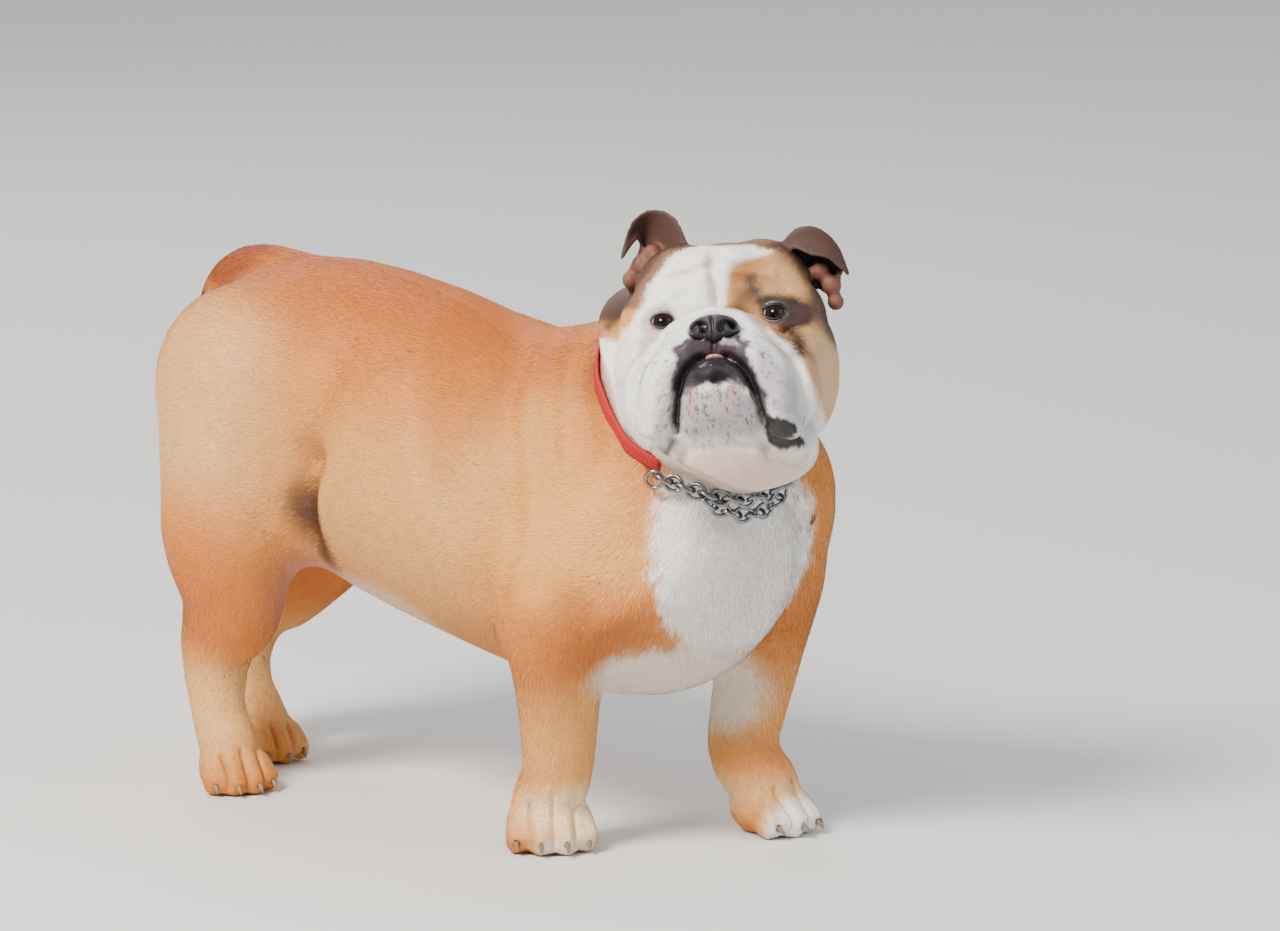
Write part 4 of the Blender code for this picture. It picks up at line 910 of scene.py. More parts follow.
@dataclass
class Coat:
    """Short tufts over the whole skin: flat ridged blades that follow the lie of the coat."""

    most_tufts: int = 49900
    lift: float = 0.00045
    patch: float = 0.0015
    seed: int = 11

    def build(self, skin: bpy.types.Object) -> list[bpy.types.Object]:
        """Grows every region's tufts on the skin.

        Args:
            skin: the finished skin with its unwrap.

        Returns:
            One object for each region.
        """
        mesh = skin.data
        mesh.calc_loop_triangles()
        count = len(mesh.loop_triangles)
        corners = np.empty(count * 3, np.int32)
        mesh.loop_triangles.foreach_get("vertices", corners)
        loops = np.empty(count * 3, np.int32)
        mesh.loop_triangles.foreach_get("loops", loops)
        uv = np.empty(len(mesh.loops) * 2, np.float32)
        mesh.uv_layers["OFBake"].data.foreach_get("uv", uv)
        points = points_of(mesh)
        normals = points_of(mesh, "normal")
        corners = corners.reshape(-1, 3)
        spots = points[corners]
        area = np.linalg.norm(np.cross(spots[:, 1] - spots[:, 0], spots[:, 2] - spots[:, 0]), axis=1) / 2
        self.ground = BVHTree.FromPolygons(points.tolist(), corners.tolist())
        regions = self.regions(spots.mean(1))
        maps = uv.reshape(-1, 2)[loops].reshape(-1, 3, 2)
        made = []
        for index, region in enumerate(Region):
            rng = np.random.default_rng(self.seed + index)
            own = np.where(regions == index)[0]
            hair = region.value
            wanted = hair.cover * area[own].sum() / (0.5 * hair.length * hair.width)
            total = int(min(wanted, self.most_tufts))
            LOG.info("%s: %d tufts of %d wanted", region.name, total, int(wanted))
            chosen = rng.choice(own, total, p=area[own] / area[own].sum())
            share = rng.dirichlet((1, 1, 1), total)
            root = (spots[chosen] * share[..., None]).sum(1)
            normal = (normals[corners[chosen]] * share[..., None]).sum(1)
            normal /= np.linalg.norm(normal, axis=1)[:, None]
            spot_uv = (maps[chosen] * share[..., None]).sum(1)
            made.append(self.grow(f"coat_{region.name.lower()}", hair, root, normal, spot_uv, rng))
        return made

    @staticmethod
    def regions(points: np.ndarray) -> np.ndarray:
        """The number of each point's region, in the order of Region."""
        x, y, z = carried(points, TO_BODY).T
        head = carried(points, TO_HEAD)
        face = on_head(points) > 0.5
        order = [r.name for r in Region]
        found = np.where(x > 0, order.index("FLANK_LEFT"), order.index("FLANK_RIGHT"))
        found[y > 0.115] = order.index("RUMP")
        found[(y < -0.095)] = order.index("NECK")
        found[(y < -0.19) & (z < 0.262)] = order.index("CHEST")
        found[(z < 0.150) & (y < 0.0) & (np.abs(x) > 0.045)] = order.index("LEGS_FRONT")
        found[(z < 0.085) & (y < 0.0)] = order.index("LEGS_FRONT")
        found[(z < 0.175) & (y > 0.095)] = order.index("LEGS_HIND")
        found[face] = order.index("SKULL")
        found[face & (head[:, 1] < 0.022)] = order.index("FACE")
        return found

    @staticmethod
    def lie(points: np.ndarray, normals: np.ndarray) -> np.ndarray:
        """The way the hair lies at each point, along the skin.

        Args:
            points: the roots.
            normals: the skin's normals there.

        Returns:
            Unit directions in the skin's surface.
        """
        body = carried(points, TO_BODY)
        x, y, z = body.T
        head = carried(points, TO_HEAD)
        way = np.tile(np.array([0.0, 1.0, -0.35]), (len(points), 1))
        down = np.array([0.0, 0.25, -1.0])
        leg = np.maximum(1 - ramp(z, 0.13, 0.21), ramp(-y, 0.19, 0.24))[:, None]
        way = way * (1 - leg) + down * leg
        way[:, 0] += np.sign(x) * 0.25 * ramp(z, 0.25, 0.34)
        tail = (ramp(y, 0.20, 0.235) * ramp(z, 0.30, 0.33))[:, None]
        way = way * (1 - tail) + np.array([0.0, 0.7, -0.8]) * tail
        outward = head - (0.0015, -0.052, -0.020)
        outward[:, 1] += 0.010
        outward /= np.maximum(np.linalg.norm(outward, axis=1), 1e-6)[:, None]
        outward = outward @ np.array(HEAD.to_3x3()).T
        face = on_head(points)[:, None]
        way = way / np.linalg.norm(way, axis=1)[:, None] * (1 - face) + outward * face
        way -= normals * (way * normals).sum(1)[:, None]
        return way / np.maximum(np.linalg.norm(way, axis=1), 1e-6)[:, None]

    def grow(self, name: str, hair: Hair, root: np.ndarray, normal: np.ndarray, uv: np.ndarray,
             rng: np.random.Generator) -> bpy.types.Object:
        """Makes one region's tufts, each a closed blade of four faces.

        Args:
            name: the piece's name.
            hair: the tufts' size.
            root: where each grows.
            normal: the skin's normal there.
            uv: that place on the skin's unwrap.
            rng: the region's random numbers.

        Returns:
            The piece.
        """
        marks = Markings(root)
        bare = bare_places(marks.head, marks.face)
        keep = rng.random(len(root)) > bare * 1.2
        keep &= root[:, 2] > 0.0012
        root, normal, uv = root[keep], normal[keep], uv[keep]
        marks_colour, head, ears = marks.colour[keep], marks.head[keep], marks.ears[keep]
        count = len(root)
        way = self.lie(root, normal)
        side = np.cross(normal, way)
        wide = np.stack([noise(root, 0.03, 21), noise(root, 0.008, 22)])
        swing = (0.16 * wide[0] + 0.12 * wide[1] + rng.normal(0, 0.10, count))[:, None]
        way = way * np.cos(swing) + side * np.sin(swing)
        side = np.cross(normal, way)
        size = np.clip(rng.normal(1, 0.18, count), 0.55, 1.5)
        size *= self.shorter(head, marks.face[keep], root, ears)
        length = (hair.length * size)[:, None]
        width = (hair.width * np.sqrt(size))[:, None]
        lift = self.lift * (0.6 + 0.9 * rng.random(count)) * np.where(marks.face[keep] > 0.5, 0.6, 1.0)
        base = root - normal * 0.0003
        tip = self.over_skin(root + way * length, lift)
        middle = self.over_skin(root + way * length * 0.45, lift * 0.35)
        left = middle + side * width / 2
        right = middle - side * width / 2
        volume = (np.cross(left - base, tip - base) * (right - base)).sum(1)
        turned = (volume < 0)[:, None]
        left, right = np.where(turned, right, left), np.where(turned, left, right)
        points = np.stack([base, left, tip, right], axis=1)
        points[..., 2] = np.maximum(points[..., 2], 0.0002)
        order = np.array([[0, 2, 1], [0, 3, 2], [0, 1, 3], [1, 2, 3]])
        faces = (np.arange(count) * 4)[:, None, None] + order
        shade = 1 + 0.055 * rng.normal(0, 1, count) + 0.05 * wide[1]
        shade = np.clip(shade, 0.8, 1.2)[:, None, None]
        run = np.array([0.90, 1.0, 1.06, 1.0])[None, :, None]
        colour = marks_colour[:, None, :] * shade * run
        spread = np.array([[0, -1], [-1, 0], [0, 1], [1, 0]]) * self.patch
        corner_uv = uv[:, None, None, :] + spread[order]
        mesh = self.mesh_of(name, points.reshape(-1, 3), faces.reshape(-1, 3), corner_uv.reshape(-1, 2))
        across = np.sign(((left - right) * side).sum(1))[:, None, None]
        tilt = np.array([0.0, 0.30, 0.0, -0.30])[None, :, None]
        soft = normal[:, None, :] + side[:, None, :] * tilt * across
        soft /= np.linalg.norm(soft, axis=2)[..., None]
        mesh.normals_split_custom_set_from_vertices(soft.reshape(-1, 3).tolist())
        store_colours(mesh, "coat", colour.reshape(-1, 3))
        return link(name, mesh)

    def over_skin(self, points: np.ndarray, height: np.ndarray) -> np.ndarray:
        """The places at this height over the skin's nearest spots."""
        found = np.empty_like(points)
        for index, point in enumerate(points.tolist()):
            spot, normal, _, _ = self.ground.find_nearest(point)
            found[index] = spot + normal * height[index]
        return found

    @staticmethod
    def shorter(head: np.ndarray, face: np.ndarray, root: np.ndarray, ears: np.ndarray) -> np.ndarray:
        """How much shorter the hair is on the feet, ears and round the eyes and lips."""
        feet = 0.55 + 0.45 * ramp(root[:, 2], 0.02, 0.07)
        gap = np.hypot(np.abs(head[:, 0]) - STANCE.eye[0], head[:, 2] - STANCE.eye[2])
        eyes = 0.55 + 0.45 * ramp(gap, 0.009, 0.022)
        muzzle = 0.75 + 0.25 * ramp(head[:, 1], -0.050, -0.020)
        return feet * (1 - face) + np.minimum(eyes, muzzle) * face * (1 - 0.35 * ears)

    @staticmethod
    def mesh_of(name: str, points: np.ndarray, faces: np.ndarray, uv: np.ndarray) -> bpy.types.Mesh:
        """A mesh of triangles with its bake map."""
        mesh = bpy.data.meshes.new(name)
        mesh.vertices.add(len(points))
        mesh.vertices.foreach_set("co", points.astype(np.float32).ravel())
        mesh.loops.add(faces.size)
        mesh.loops.foreach_set("vertex_index", faces.astype(np.int32).ravel())
        mesh.polygons.add(len(faces))
        mesh.polygons.foreach_set("loop_start", np.arange(0, faces.size, 3, dtype=np.int32))
        mesh.update(calc_edges=True)
        layer = mesh.uv_layers.new(name="OFBake")
        layer.data.foreach_set("uv", uv.astype(np.float32).ravel())
        return mesh


# Finishes


def add_node(tree: bpy.types.NodeTree, kind: str, settings: dict | None = None,
             **links: object) -> bpy.types.Node:
    """Adds a node with its settings and what feeds its inputs.

    Args:
        tree: the material's node tree.
        kind: the node's type name after ShaderNode.
        settings: its own properties, by name.
        links: a socket or a value for each input, by its name or as i and its number.

    Returns:
        The node.
    """
    node = tree.nodes.new(f"ShaderNode{kind}")
    for name, value in (settings or {}).items():
        setattr(node, name, value)
    for name, value in links.items():
        numbered = name[0] == "i" and name[1:].isdigit()
        socket = node.inputs[int(name[1:]) if numbered else name]
        if isinstance(value, bpy.types.NodeSocket):
            tree.links.new(value, socket)
        else:
            socket.default_value = value
    return node


@dataclass
class Shading:
    """A material's nodes as they are put together."""

    tree: bpy.types.NodeTree
    shader: bpy.types.Node

    def feed(self, name: str, socket: bpy.types.NodeSocket) -> None:
        """Gives one of the shader's inputs this value."""
        self.tree.links.new(socket, self.shader.inputs[name])

    def noise(self, scale: float, detail: float, roughness: float = 0.5) -> bpy.types.NodeSocket:
        """Noise of this scale in the object's own metres."""
        place = add_node(self.tree, "TexCoord")
        found = add_node(self.tree, "TexNoise", Vector=place.outputs["Object"], Scale=scale,
                         Detail=detail, Roughness=roughness)
        return found.outputs["Fac"]

    def span(self, value: bpy.types.NodeSocket, *ends: float) -> bpy.types.NodeSocket:
        """Carries a value from the first two ends' range to the last two's."""
        low, high, start, end = ends
        found = add_node(self.tree, "MapRange", i0=value, i1=low, i2=high, i3=start, i4=end)
        return found.outputs[0]

    def blend(self, value: bpy.types.NodeSocket, low: str, high: str) -> None:
        """Colours the surface between two colours."""
        mix = add_node(self.tree, "Mix", {"data_type": "RGBA"}, i0=value,
                       i6=(*linear(low), 1), i7=(*linear(high), 1))
        self.feed("Base Color", mix.outputs[2])

    def bump(self, height: bpy.types.NodeSocket, strength: float, distance: float,
             invert: bool = False) -> None:
        """Raises the surface by this height, at most by the distance in metres."""
        bump = add_node(self.tree, "Bump", {"invert": invert}, Strength=strength, Distance=distance,
                        Height=height)
        self.feed("Normal", bump.outputs[0])


@dataclass(frozen=True)
class Finish:
    """A plain surface: its colour, roughness and metal, to which the kinds below add a pattern."""

    name: str
    colour: str = "#808080"
    roughness: float = 0.5
    metallic: float = 0.0
    ior: float = 1.5
    coat: float = 0.0
    sheen: float = 0.0

    def make(self) -> bpy.types.Material:
        """The material, with the values that are the same all over set on its shader."""
        material = bpy.data.materials.new(self.name)
        material.use_nodes = True
        tree = material.node_tree
        shader = tree.nodes["Principled BSDF"]
        values = {
            "Base Color": (*linear(self.colour), 1), "Roughness": self.roughness,
            "Metallic": self.metallic, "IOR": self.ior, "Coat Weight": self.coat,
            "Coat Roughness": 0.12, "Sheen Weight": self.sheen, "Sheen Roughness": 0.4,
        }
        for name, value in values.items():
            shader.inputs[name].default_value = value
        self.pattern(Shading(tree, shader))
        return material

    def pattern(self, make: Shading) -> None:
        """Adds what varies over the surface."""


@dataclass(frozen=True)
class Pelt(Finish):
    """Dog's skin and hair: the stored markings, with a fine grain, glossier where it is bare."""

    grain: float = 0.0009
    strength: float = 0.35
    damp: bool = False

    def pattern(self, make: Shading) -> None:
        """Takes the colour of each point and adds hair grain about 0.9 mm across."""
        marks = add_node(make.tree, "Attribute", {"attribute_name": "coat"})
        grain = make.noise(1 / self.grain, 3, 0.6)
        tint = add_node(make.tree, "VectorMath", {"operation": "SCALE"}, i0=marks.outputs["Color"],
                        Scale=make.span(grain, 0.3, 0.7, 0.93, 1.05))
        make.feed("Base Color", tint.outputs[0])
        if not self.damp:
            return
        wet = add_node(make.tree, "Attribute", {"attribute_name": "wet"})
        make.feed("Roughness", make.span(wet.outputs["Fac"], 0, 1, self.roughness, 0.26))
        make.bump(grain, self.strength, 0.0006)


@dataclass(frozen=True)
class NoseLeather(Finish):
    """Damp nose leather: black, in pebbles about 1.1 mm across."""

    pebble: float = 0.0011

    def pattern(self, make: Shading) -> None:
        """Adds the pebbles, under a cloud of blacks a few millimetres across."""
        place = add_node(make.tree, "TexCoord")
        cells = add_node(make.tree, "TexVoronoi", Vector=place.outputs["Object"], Scale=1 / self.pebble)
        make.bump(cells.outputs["Distance"], 0.55, 0.0004, invert=True)
        make.blend(make.noise(220, 3), "#141316", "#363338")


@dataclass(frozen=True)
class EyeGlass(Finish):
    """The wet eyeball: dark pupil, brown iris with fine rays, and a pinkish white."""

    stops: tuple = (
        (0.0, "#020202"), (0.26, "#030202"), (0.32, "#1A0C06"), (0.50, "#26130A"),
        (0.57, "#0A0505"), (0.62, "#3A2A26"), (0.68, "#A58F86"), (1.0, "#B98A7E"),
    )

    def pattern(self, make: Shading) -> None:
        """Colours the eye by the angle from its gaze, stored on its points."""
        ring = add_node(make.tree, "Attribute", {"attribute_name": "ring"})
        shift = add_node(make.tree, "Math", {"operation": "MULTIPLY_ADD"}, i0=make.noise(1400, 4),
                         i1=0.05, i2=ring.outputs["Fac"])
        rings = add_node(make.tree, "ValToRGB", Fac=shift.outputs[0])
        elements = rings.color_ramp.elements
        while len(elements) < len(self.stops):
            elements.new(0.5)
        for element, (at, colour) in zip(elements, self.stops):
            element.position = at
            element.color = (*linear(colour), 1)
        make.feed("Base Color", rings.outputs[0])


@dataclass(frozen=True)
class Nylon(Finish):
    """Woven nylon webbing: ribs 1.7 mm apart across its length, threads 0.8 mm apart along it."""

    rib: float = 0.0017
    thread: float = 0.0008

    def pattern(self, make: Shading) -> None:
        """Adds the ribs and threads along the webbing's own map, which is in metres."""
        own = add_node(make.tree, "UVMap", {"uv_map": "Weave"})
        ribs, threads = (
            add_node(make.tree, "TexWave", {"bands_direction": way}, Vector=own.outputs[0],
                     Scale=0.314 / apart, Distortion=wander).outputs["Fac"]
            for way, apart, wander in (("X", self.rib, 0), ("Y", self.thread, 1.5))
        )
        high = add_node(make.tree, "Math", {"operation": "MULTIPLY_ADD"}, i0=threads, i1=0.35, i2=ribs)
        make.bump(high.outputs[0], 0.9, 0.0005)
        make.blend(ribs, "#8A0715", self.colour)


@dataclass(frozen=True)
class WornSteel(Finish):
    """Plated steel wire: bright, with darker film where hands don't rub it."""

    def pattern(self, make: Shading) -> None:
        """Adds the film, in spots a few millimetres across."""
        film = make.noise(300, 3)
        make.blend(film, "#3C3E44", "#A9ABB0")
        make.feed("Roughness", make.span(film, 0.3, 0.7, 0.30, 0.14))


@dataclass(frozen=True)
class Horn(Finish):
    """Claw horn: streaked brown and grey along its length."""

    def pattern(self, make: Shading) -> None:
        """Adds streaks about 1 mm wide."""
        make.blend(make.noise(900, 2), "#3A2C24", "#A18B76")


@dataclass(frozen=True)
class WetFlesh(Finish):
    """Tongue and lid edges: smooth wet flesh with small bumps."""

    def pattern(self, make: Shading) -> None:
        """Adds bumps about 0.7 mm apart."""
        make.bump(make.noise(1400, 2), 0.4, 0.0003)


def dress(obj: bpy.types.Object, material: bpy.types.Material) -> None:
    """Gives the object this one material."""
    obj.data.materials.clear()
    obj.data.materials.append(material)


# Eyes, nose and claws


@dataclass
class Eye:
    """One eyeball with its clear bulge in front, and the dark rim of its lids."""

    word: str
    rim_colour: str
    gaze: tuple = (0.07, -0.97, -0.14)
    bulge: float = 0.0010
    rim: float = 0.00065

    def build(self) -> list[bpy.types.Object]:
        """Makes the eyeball and the lid rim."""
        low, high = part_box(f"eye_{self.word}")
        centre, radius = (low + high) / 2, eye_radius()
        gaze = (HEAD.to_3x3() @ Vector(self.gaze)).normalized()
        select_only()
        bpy.ops.mesh.primitive_uv_sphere_add(segments=64, ring_count=40, radius=radius, location=(0, 0, 0))
        eye = bpy.context.object
        eye.name = f"eyeball_{self.word}"
        turn = gaze.to_track_quat("Z", "Y").to_matrix().to_4x4()
        bpy.ops.object.shade_smooth()
        points = points_of(eye.data)
        angle = np.arctan2(np.hypot(points[:, 0], points[:, 1]), points[:, 2])
        points *= (1 + self.bulge / radius * (1 - ramp(angle, 0.0, 0.62)))[:, None]
        eye.data.vertices.foreach_set("co", points.astype(np.float32).ravel())
        store_values(eye.data, "ring", angle / 1.05)
        eye.data.transform(Matrix.Translation(centre) @ turn)
        dress(eye, EyeGlass(f"wet_eye_{self.word}", roughness=0.03, ior=1.34).make())
        return [eye, self.make_rim(radius)]

    def make_rim(self, radius: float) -> bpy.types.Object:
        """The moist edge of the lids, an almond ring that lies on the eyeball."""
        side = 1 if self.word == "left" else -1
        wide, high = Skin.eye_opening
        rows = []
        for k in range(29):
            a = 2 * math.pi * k / 28
            x = math.cos(a) * wide * 0.97
            squeeze = float(Skin.lid_shape(np.array([x / wide]))[0])
            z = math.sin(a) * high * squeeze * 0.97 * (Skin.upper_lid if math.sin(a) > 0 else 1)
            y = -math.sqrt(max((radius + 0.0006) ** 2 - x * x - z * z, 0))
            eye = Vector(STANCE.eye)
            rows.append((eye.x * side + x, eye.y + y, eye.z + z, self.rim))
        bm = bmesh.new()
        tube(bm, HEAD, rows, sides=10, steps=3, closed=True)
        ring = from_bmesh(bm, f"lid_rim_{self.word}")
        ring.data.shade_smooth()
        dress(ring, WetFlesh(f"lid_edge_{self.word}", self.rim_colour, 0.42).make())
        return ring


@dataclass
class Nose:
    """The nose pad: the solid's shape, finer, with deep comma-shaped nostrils."""

    voxel: float = 0.0006
    nostril: tuple = ((5.8, 0, -28.2), (6.4, 0, -25.8), (8.4, 0, -24), (11, 0, -24.4), (13.4, 0, -26.2))
    off_centre: float = 0.0015

    def build(self) -> bpy.types.Object:
        """Remeshes a copy of the solid and sinks the nostrils and the cleft."""
        nose = link("nose_pad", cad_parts["nose"].data.copy())
        weld(nose)
        finish_with(nose, "REMESH", mode="VOXEL", voxel_size=self.voxel)
        finish_with(nose, "SMOOTH", factor=0.5, iterations=9)
        clay = Clay(nose)
        place = HEAD @ Matrix.Translation((self.off_centre, 0, 0))
        clay.work(Fold(self.nostril, 2.3, -6.6), place)
        clay.work(on_face(0.9, -1.6, (0, -20), (0, -34), both=False), place)
        clay.store()
        finish_with(nose, "SMOOTH", factor=0.5, iterations=2)
        nose.data.shade_smooth()
        dress(nose, NoseLeather("nose_leather", roughness=0.5, coat=0.12).make())
        return nose


# The collar


class CollarLine:
    """The collar's path round the neck, taken from its two solids."""

    def __init__(self) -> None:
        """Reads how far out and how high the solids lie, by angle from the lowest front."""
        rows = []
        for node in ("collar_band", "collar_chain"):
            local = carried(points_of(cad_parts[node].data), TO_COLLAR)
            angle = np.degrees(np.arctan2(local[:, 0], -local[:, 1]))
            if node == "collar_band":
                angle = np.where(angle < 0, angle + 360, angle)
            for low in np.arange(math.floor(angle.min()), angle.max(), 6):
                chosen = local[(angle >= low) & (angle < low + 6)]
                if len(chosen) < 4:
                    continue
                radius = np.hypot(chosen[:, 0], chosen[:, 1])
                rows.append((low + 3, (radius.min() + radius.max()) / 2,
                             (chosen[:, 2].min() + chosen[:, 2].max()) / 2))
        rows = np.array(sorted(rows))
        even = np.ones(5) / 5
        for column in (1, 2):
            padded = np.pad(rows[:, column], 2, mode="edge")
            rows[:, column] = np.convolve(padded, even, mode="valid")
        self.rows = rows

    def at(self, angle: float, out: float = 0.0, up: float = 0.0) -> Vector:
        """The point of the collar's middle at this angle, in collar coordinates."""
        radius = np.interp(angle, self.rows[:, 0], self.rows[:, 1]) + out
        height = np.interp(angle, self.rows[:, 0], self.rows[:, 2]) + up
        a = math.radians(angle)
        return Vector((math.sin(a) * radius, -math.cos(a) * radius, height))


def outward(along: Vector, middle: Vector) -> Vector:
    """The level direction across the collar that points away from the neck."""
    out = along.cross(Vector((0, 0, 1))).normalized()
    return -out if out.dot(middle) < 0 else out


@dataclass
class Webbing:
    """The red nylon band round the back and sides of the neck, with its end loops."""

    line: CollarLine
    span: tuple = (40, 330)
    width: float = 0.0122
    thickness: float = 0.0024
    count: int = 150

    def build(self) -> bpy.types.Object:
        """Sweeps the webbing's rounded section along the neck."""
        bm = bmesh.new()
        weave = bm.loops.layers.uv.new("Weave")
        half, deep = self.width / 2, self.thickness / 2
        section = [(-half, 0, 0), (-half * 0.96, deep, 0.02), (-half * 0.5, deep * 1.1, 0.25),
                   (0, deep * 1.15, 0.5), (half * 0.5, deep * 1.1, 0.75), (half * 0.96, deep, 0.98),
                   (half, 0, 1), (half * 0.9, -deep, 0.95), (-half * 0.9, -deep, 0.05)]
        angles = np.linspace(self.span[0] + 0.5, self.span[1] - 0.5, self.count)
        middles = [self.line.at(a) for a in angles]
        rings, run, lengths = [], 0.0, []
        for i, middle in enumerate(middles):
            along = (middles[min(i + 1, self.count - 1)] - middles[max(i - 1, 0)]).normalized()
            out = outward(along, middle)
            run += (middle - middles[max(i - 1, 0)]).length
            lengths.append(run)
            rings.append([bm.verts.new(COLLAR @ (middle + out * d + Vector((0, 0, h))))
                          for h, d, _ in section])
        sides = len(section)
        for i in range(self.count - 1):
            for k in range(sides):
                j = (k + 1) % sides
                face = bm.faces.new((rings[i][k], rings[i][j], rings[i + 1][j], rings[i + 1][k]))
                spots = ((i, k), (i, j), (i + 1, j), (i + 1, k))
                for loop, (row, col) in zip(face.loops, spots):
                    loop[weave].uv = (lengths[row], section[col][2] * self.width)
        bm.faces.new(rings[0])
        bm.faces.new(rings[-1])
        band = from_bmesh(bm, "webbing")
        band.data.shade_smooth()
        dress(band, Nylon("red_nylon", "#CC0D22", 0.6).make())
        return band


@dataclass
class Chain:
    """The steel curb chain across the throat, its loop that hangs, and the rings at its ends."""

    line: CollarLine
    wire: float = 0.00145
    link_length: float = 0.0070
    link_width: float = 0.0052
    span: tuple = (-27, 35)
    count: int = 16
    segments: int = 28
    sides: int = 8

    def one_link(self, bm: bmesh.types.BMesh, middle: Vector, along: Vector, across: Vector,
                 length: float, width: float, wire: float, twist: float = 0.0) -> None:
        """Adds one oval link.

        Args:
            bm: the working mesh.
            middle: the link's centre, in collar coordinates.
            along: its long way.
            across: its other way in its own plane.
            length: half its length.
            width: half its width.
            wire: the wire's radius.
            twist: how far, in radians, its two ends are turned against each other.
        """
        away = along.cross(across).normalized()
        rings = []
        for k in range(self.segments):
            a = 2 * math.pi * k / self.segments
            bend = twist * math.cos(a)
            side = across * math.cos(bend) + away * math.sin(bend)
            lift = away * math.cos(bend) - across * math.sin(bend)
            spoke = along * math.cos(a) * length + side * math.sin(a) * width
            radial = (along * math.cos(a) / length + side * math.sin(a) / width).normalized()
            ring = []
            for j in range(self.sides):
                b = 2 * math.pi * j / self.sides
                offset = (radial * math.cos(b) + lift * math.sin(b)) * wire
                ring.append(bm.verts.new(COLLAR @ (middle + spoke + offset)))
            rings.append(ring)
        for k in range(self.segments):
            near, far = rings[k], rings[(k + 1) % self.segments]
            for j in range(self.sides):
                n = (j + 1) % self.sides
                bm.faces.new((near[j], near[n], far[n], far[j]))

    def run(self, bm: bmesh.types.BMesh, points: list[Vector], length: float, width: float,
            wire: float, tilt: float = 40) -> None:
        """Hangs links along the points, turned to and fro."""
        for i, middle in enumerate(points):
            ahead, behind = points[min(i + 1, len(points) - 1)], points[max(i - 1, 0)]
            along = (ahead - behind).normalized()
            out = outward(along, middle)
            up = along.cross(out)
            turn = math.radians(tilt if i % 2 else tilt - 90)
            across = up * math.cos(turn) + out * math.sin(turn)
            self.one_link(bm, middle, along, across, length, width, wire, 0.45)

    def build(self) -> bpy.types.Object:
        """Makes the doubled run, the hanging loop and the end rings."""
        bm = bmesh.new()
        low, high = self.span
        upper = [self.line.at(low + (high - low) * k / (self.count - 1), 0.0008, 0.0022)
                 for k in range(self.count)]
        self.run(bm, upper, self.link_length, self.link_width, self.wire)
        lower = []
        for k in range(9):
            t = k / 8
            angle = -10 + 32 * t
            sag = 0.0090 * math.sin(math.pi * t)
            lower.append(self.line.at(angle, 0.0026, -0.0034 - sag))
        self.run(bm, lower, self.link_length, self.link_width, self.wire, 25)
        for angle, size in ((low - 3.0, 0.0062), (high + 2.5, 0.0078)):
            middle = self.line.at(angle, 0.0016, 0.0)
            along = (self.line.at(angle + 2) - self.line.at(angle - 2)).normalized()
            out = outward(along, middle)
            up = along.cross(out)
            across = (up * 0.92 + out * 0.38).normalized()
            self.one_link(bm, middle, along, across, size, size, 0.00135)
        chain = from_bmesh(bm, "curb_chain")
        chain.data.shade_smooth()
        dress(chain, WornSteel("plated_steel", "#9EA0A5", 0.2, metallic=1.0).make())
        return chain


# The studio


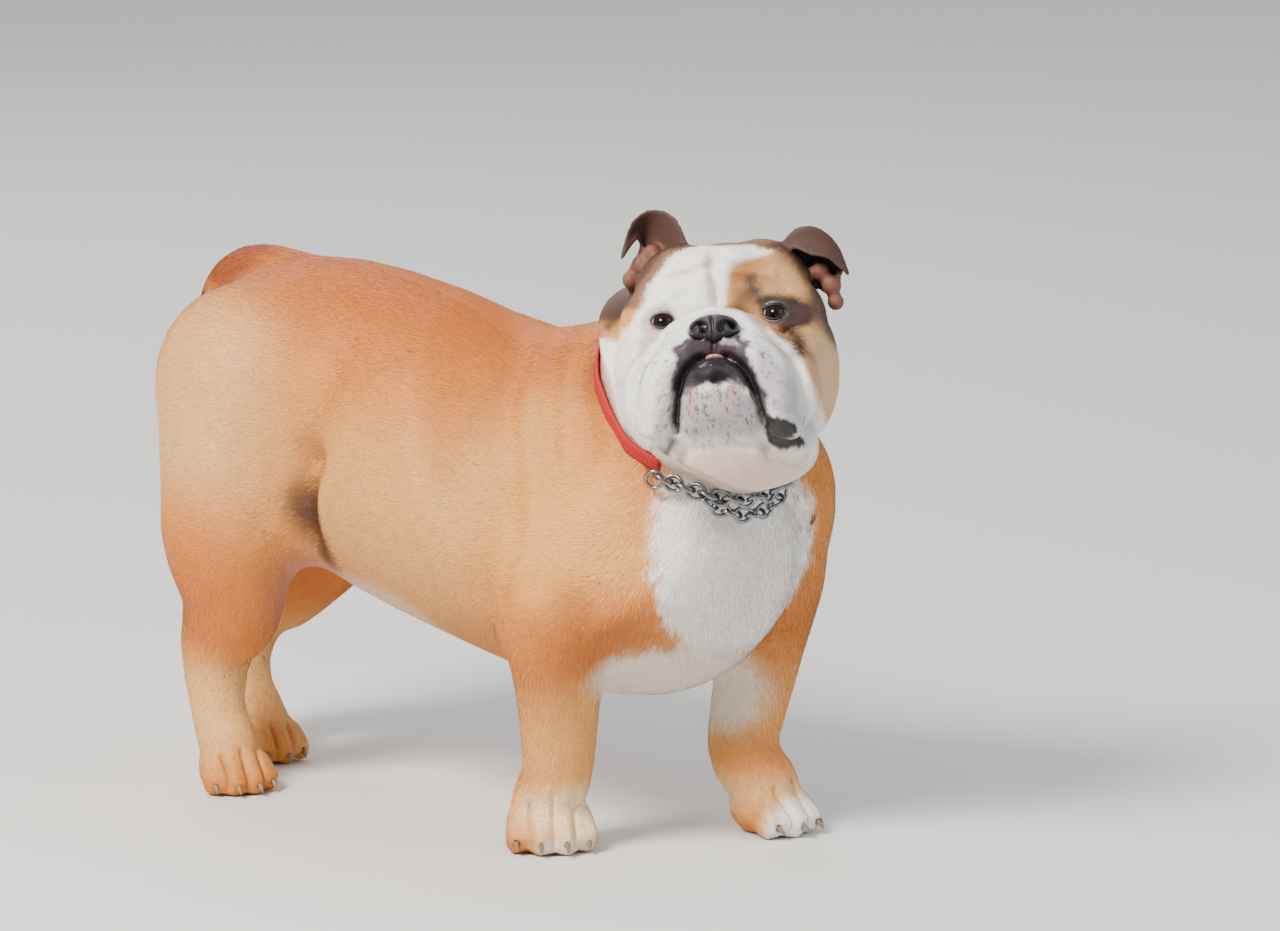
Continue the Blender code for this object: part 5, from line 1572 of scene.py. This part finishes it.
@dataclass
class Studio:
    """Camera at the photograph's angle, a pale floor and soft light."""

    azimuth: float = -50.0
    elevation: float = 10.0
    distance: float = 7.5
    scale: float = 1400.0
    target: tuple = (0.0356, -0.1318, 0.2559)
    width_px: int = 1280

    def build(self) -> None:
        """Makes everything in the studio."""
        self.camera()
        self.floor()
        self.lamp("key", (-2.5, -0.1, 2.5), 1.1, 235, "#FFF7EC")
        self.lamp("fill", (0.8, -3.2, 1.6), 2.6, 36, "#EEF3FF")
        self.lamp("rim", (1.6, 2.4, 2.2), 1.8, 40, "#FFFFFF")
        world = bpy.data.worlds.new("studio_air")
        world.use_nodes = True
        background = world.node_tree.nodes["Background"]
        background.inputs["Color"].default_value = (*linear("#E9EAEC"), 1)
        background.inputs["Strength"].default_value = 0.85
        bpy.context.scene.world = world

    def camera(self) -> None:
        """Puts the camera at the photograph's viewing angle."""
        a, e = math.radians(self.azimuth), math.radians(self.elevation)
        back = Vector((math.sin(a) * math.cos(e), -math.cos(a) * math.cos(e), math.sin(e)))
        data = bpy.data.cameras.new("camera")
        data.sensor_width = 36
        data.lens = self.scale * self.distance / self.width_px * 36
        data.clip_end = 100
        camera = bpy.data.objects.new("camera", data)
        bpy.context.scene.collection.objects.link(camera)
        camera.location = BODY @ Vector(self.target) + back * self.distance
        camera.rotation_mode = "QUATERNION"
        camera.rotation_quaternion = (-back).to_track_quat("-Z", "Y")
        bpy.context.scene.camera = camera

    def floor(self) -> None:
        """A wide pale floor."""
        select_only()
        bpy.ops.mesh.primitive_plane_add(size=60, location=(0, 0, -0.0004))
        floor = bpy.context.object
        floor.name = "studio_floor"
        dress(floor, Finish("matt_floor", "#DADAD8", 0.85).make())

    def lamp(self, name: str, place: tuple, size: float, power: float, colour: str) -> None:
        """A square soft light that faces the dog."""
        data = bpy.data.lights.new(name, "AREA")
        data.size = size
        data.energy = power
        data.color = tuple(linear(colour))
        lamp = bpy.data.objects.new(name, data)
        bpy.context.scene.collection.objects.link(lamp)
        lamp.location = place
        lamp.rotation_mode = "QUATERNION"
        lamp.rotation_quaternion = (Vector((0, 0, 0.2)) - Vector(place)).to_track_quat("-Z", "Y")


# Putting it together


@dataclass
class Bulldog:
    """The whole dog, dressed."""

    skin: Skin = field(default_factory=Skin)
    coat: Coat = field(default_factory=Coat)

    def build(self) -> None:
        """Builds and declares each piece in order."""
        pelt = Pelt("short_coat", roughness=0.6)
        hide = Pelt("dog_skin", roughness=0.66, damp=True)
        skin = self.skin.build()
        self.skin.paint(skin)
        dress(skin, hide.make())
        self.declare(skin, "head", *self.skin.flesh)
        hair = pelt.make()
        slots = {"FACE": "head", "SKULL": "head", "NECK": "neck", "CHEST": "neck", "LEGS_FRONT": "legs",
                 "LEGS_HIND": "legs"}
        for region, piece in zip(Region, self.coat.build(skin)):
            dress(piece, hair)
            self.declare(piece, slots.get(region.name, "torso"))
        for word, colour in (("left", "#0B0808"), ("right", "#30191A")):
            ball_piece, rim = Eye(word, colour).build()
            self.declare(ball_piece, "eyes", f"eye_{word}")
            self.declare(rim, "head")
        self.declare(Nose().build(), "nose", "nose")
        line = CollarLine()
        self.declare(Webbing(line).build(), "collar_band", "collar_band")
        self.declare(Chain(line).build(), "collar_chain", "collar_chain")
        dress(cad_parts["tongue"], WetFlesh("tongue", "#D88C86", 0.3, coat=0.5).make())
        horn = Horn("claw_horn", roughness=0.42).make()
        for name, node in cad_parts.items():
            if name.startswith("claw_"):
                dress(node, horn)

    @staticmethod
    def declare(piece: bpy.types.Object, slot: str, *nodes: str) -> None:
        """Says what the piece rides on, what it stands for and whose finish it takes."""
        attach(piece, "root")
        if nodes:
            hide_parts(*nodes)
        LOG.info("%s: %d faces", piece.name, len(piece.data.polygons))


def main() -> None:
    """Builds the studio and the dog, and notes both boxes."""
    logging.basicConfig(level=logging.INFO, format="%(name)s: %(message)s")
    Studio().build()
    Bulldog().build()


if __name__ == "__main__":
    main()
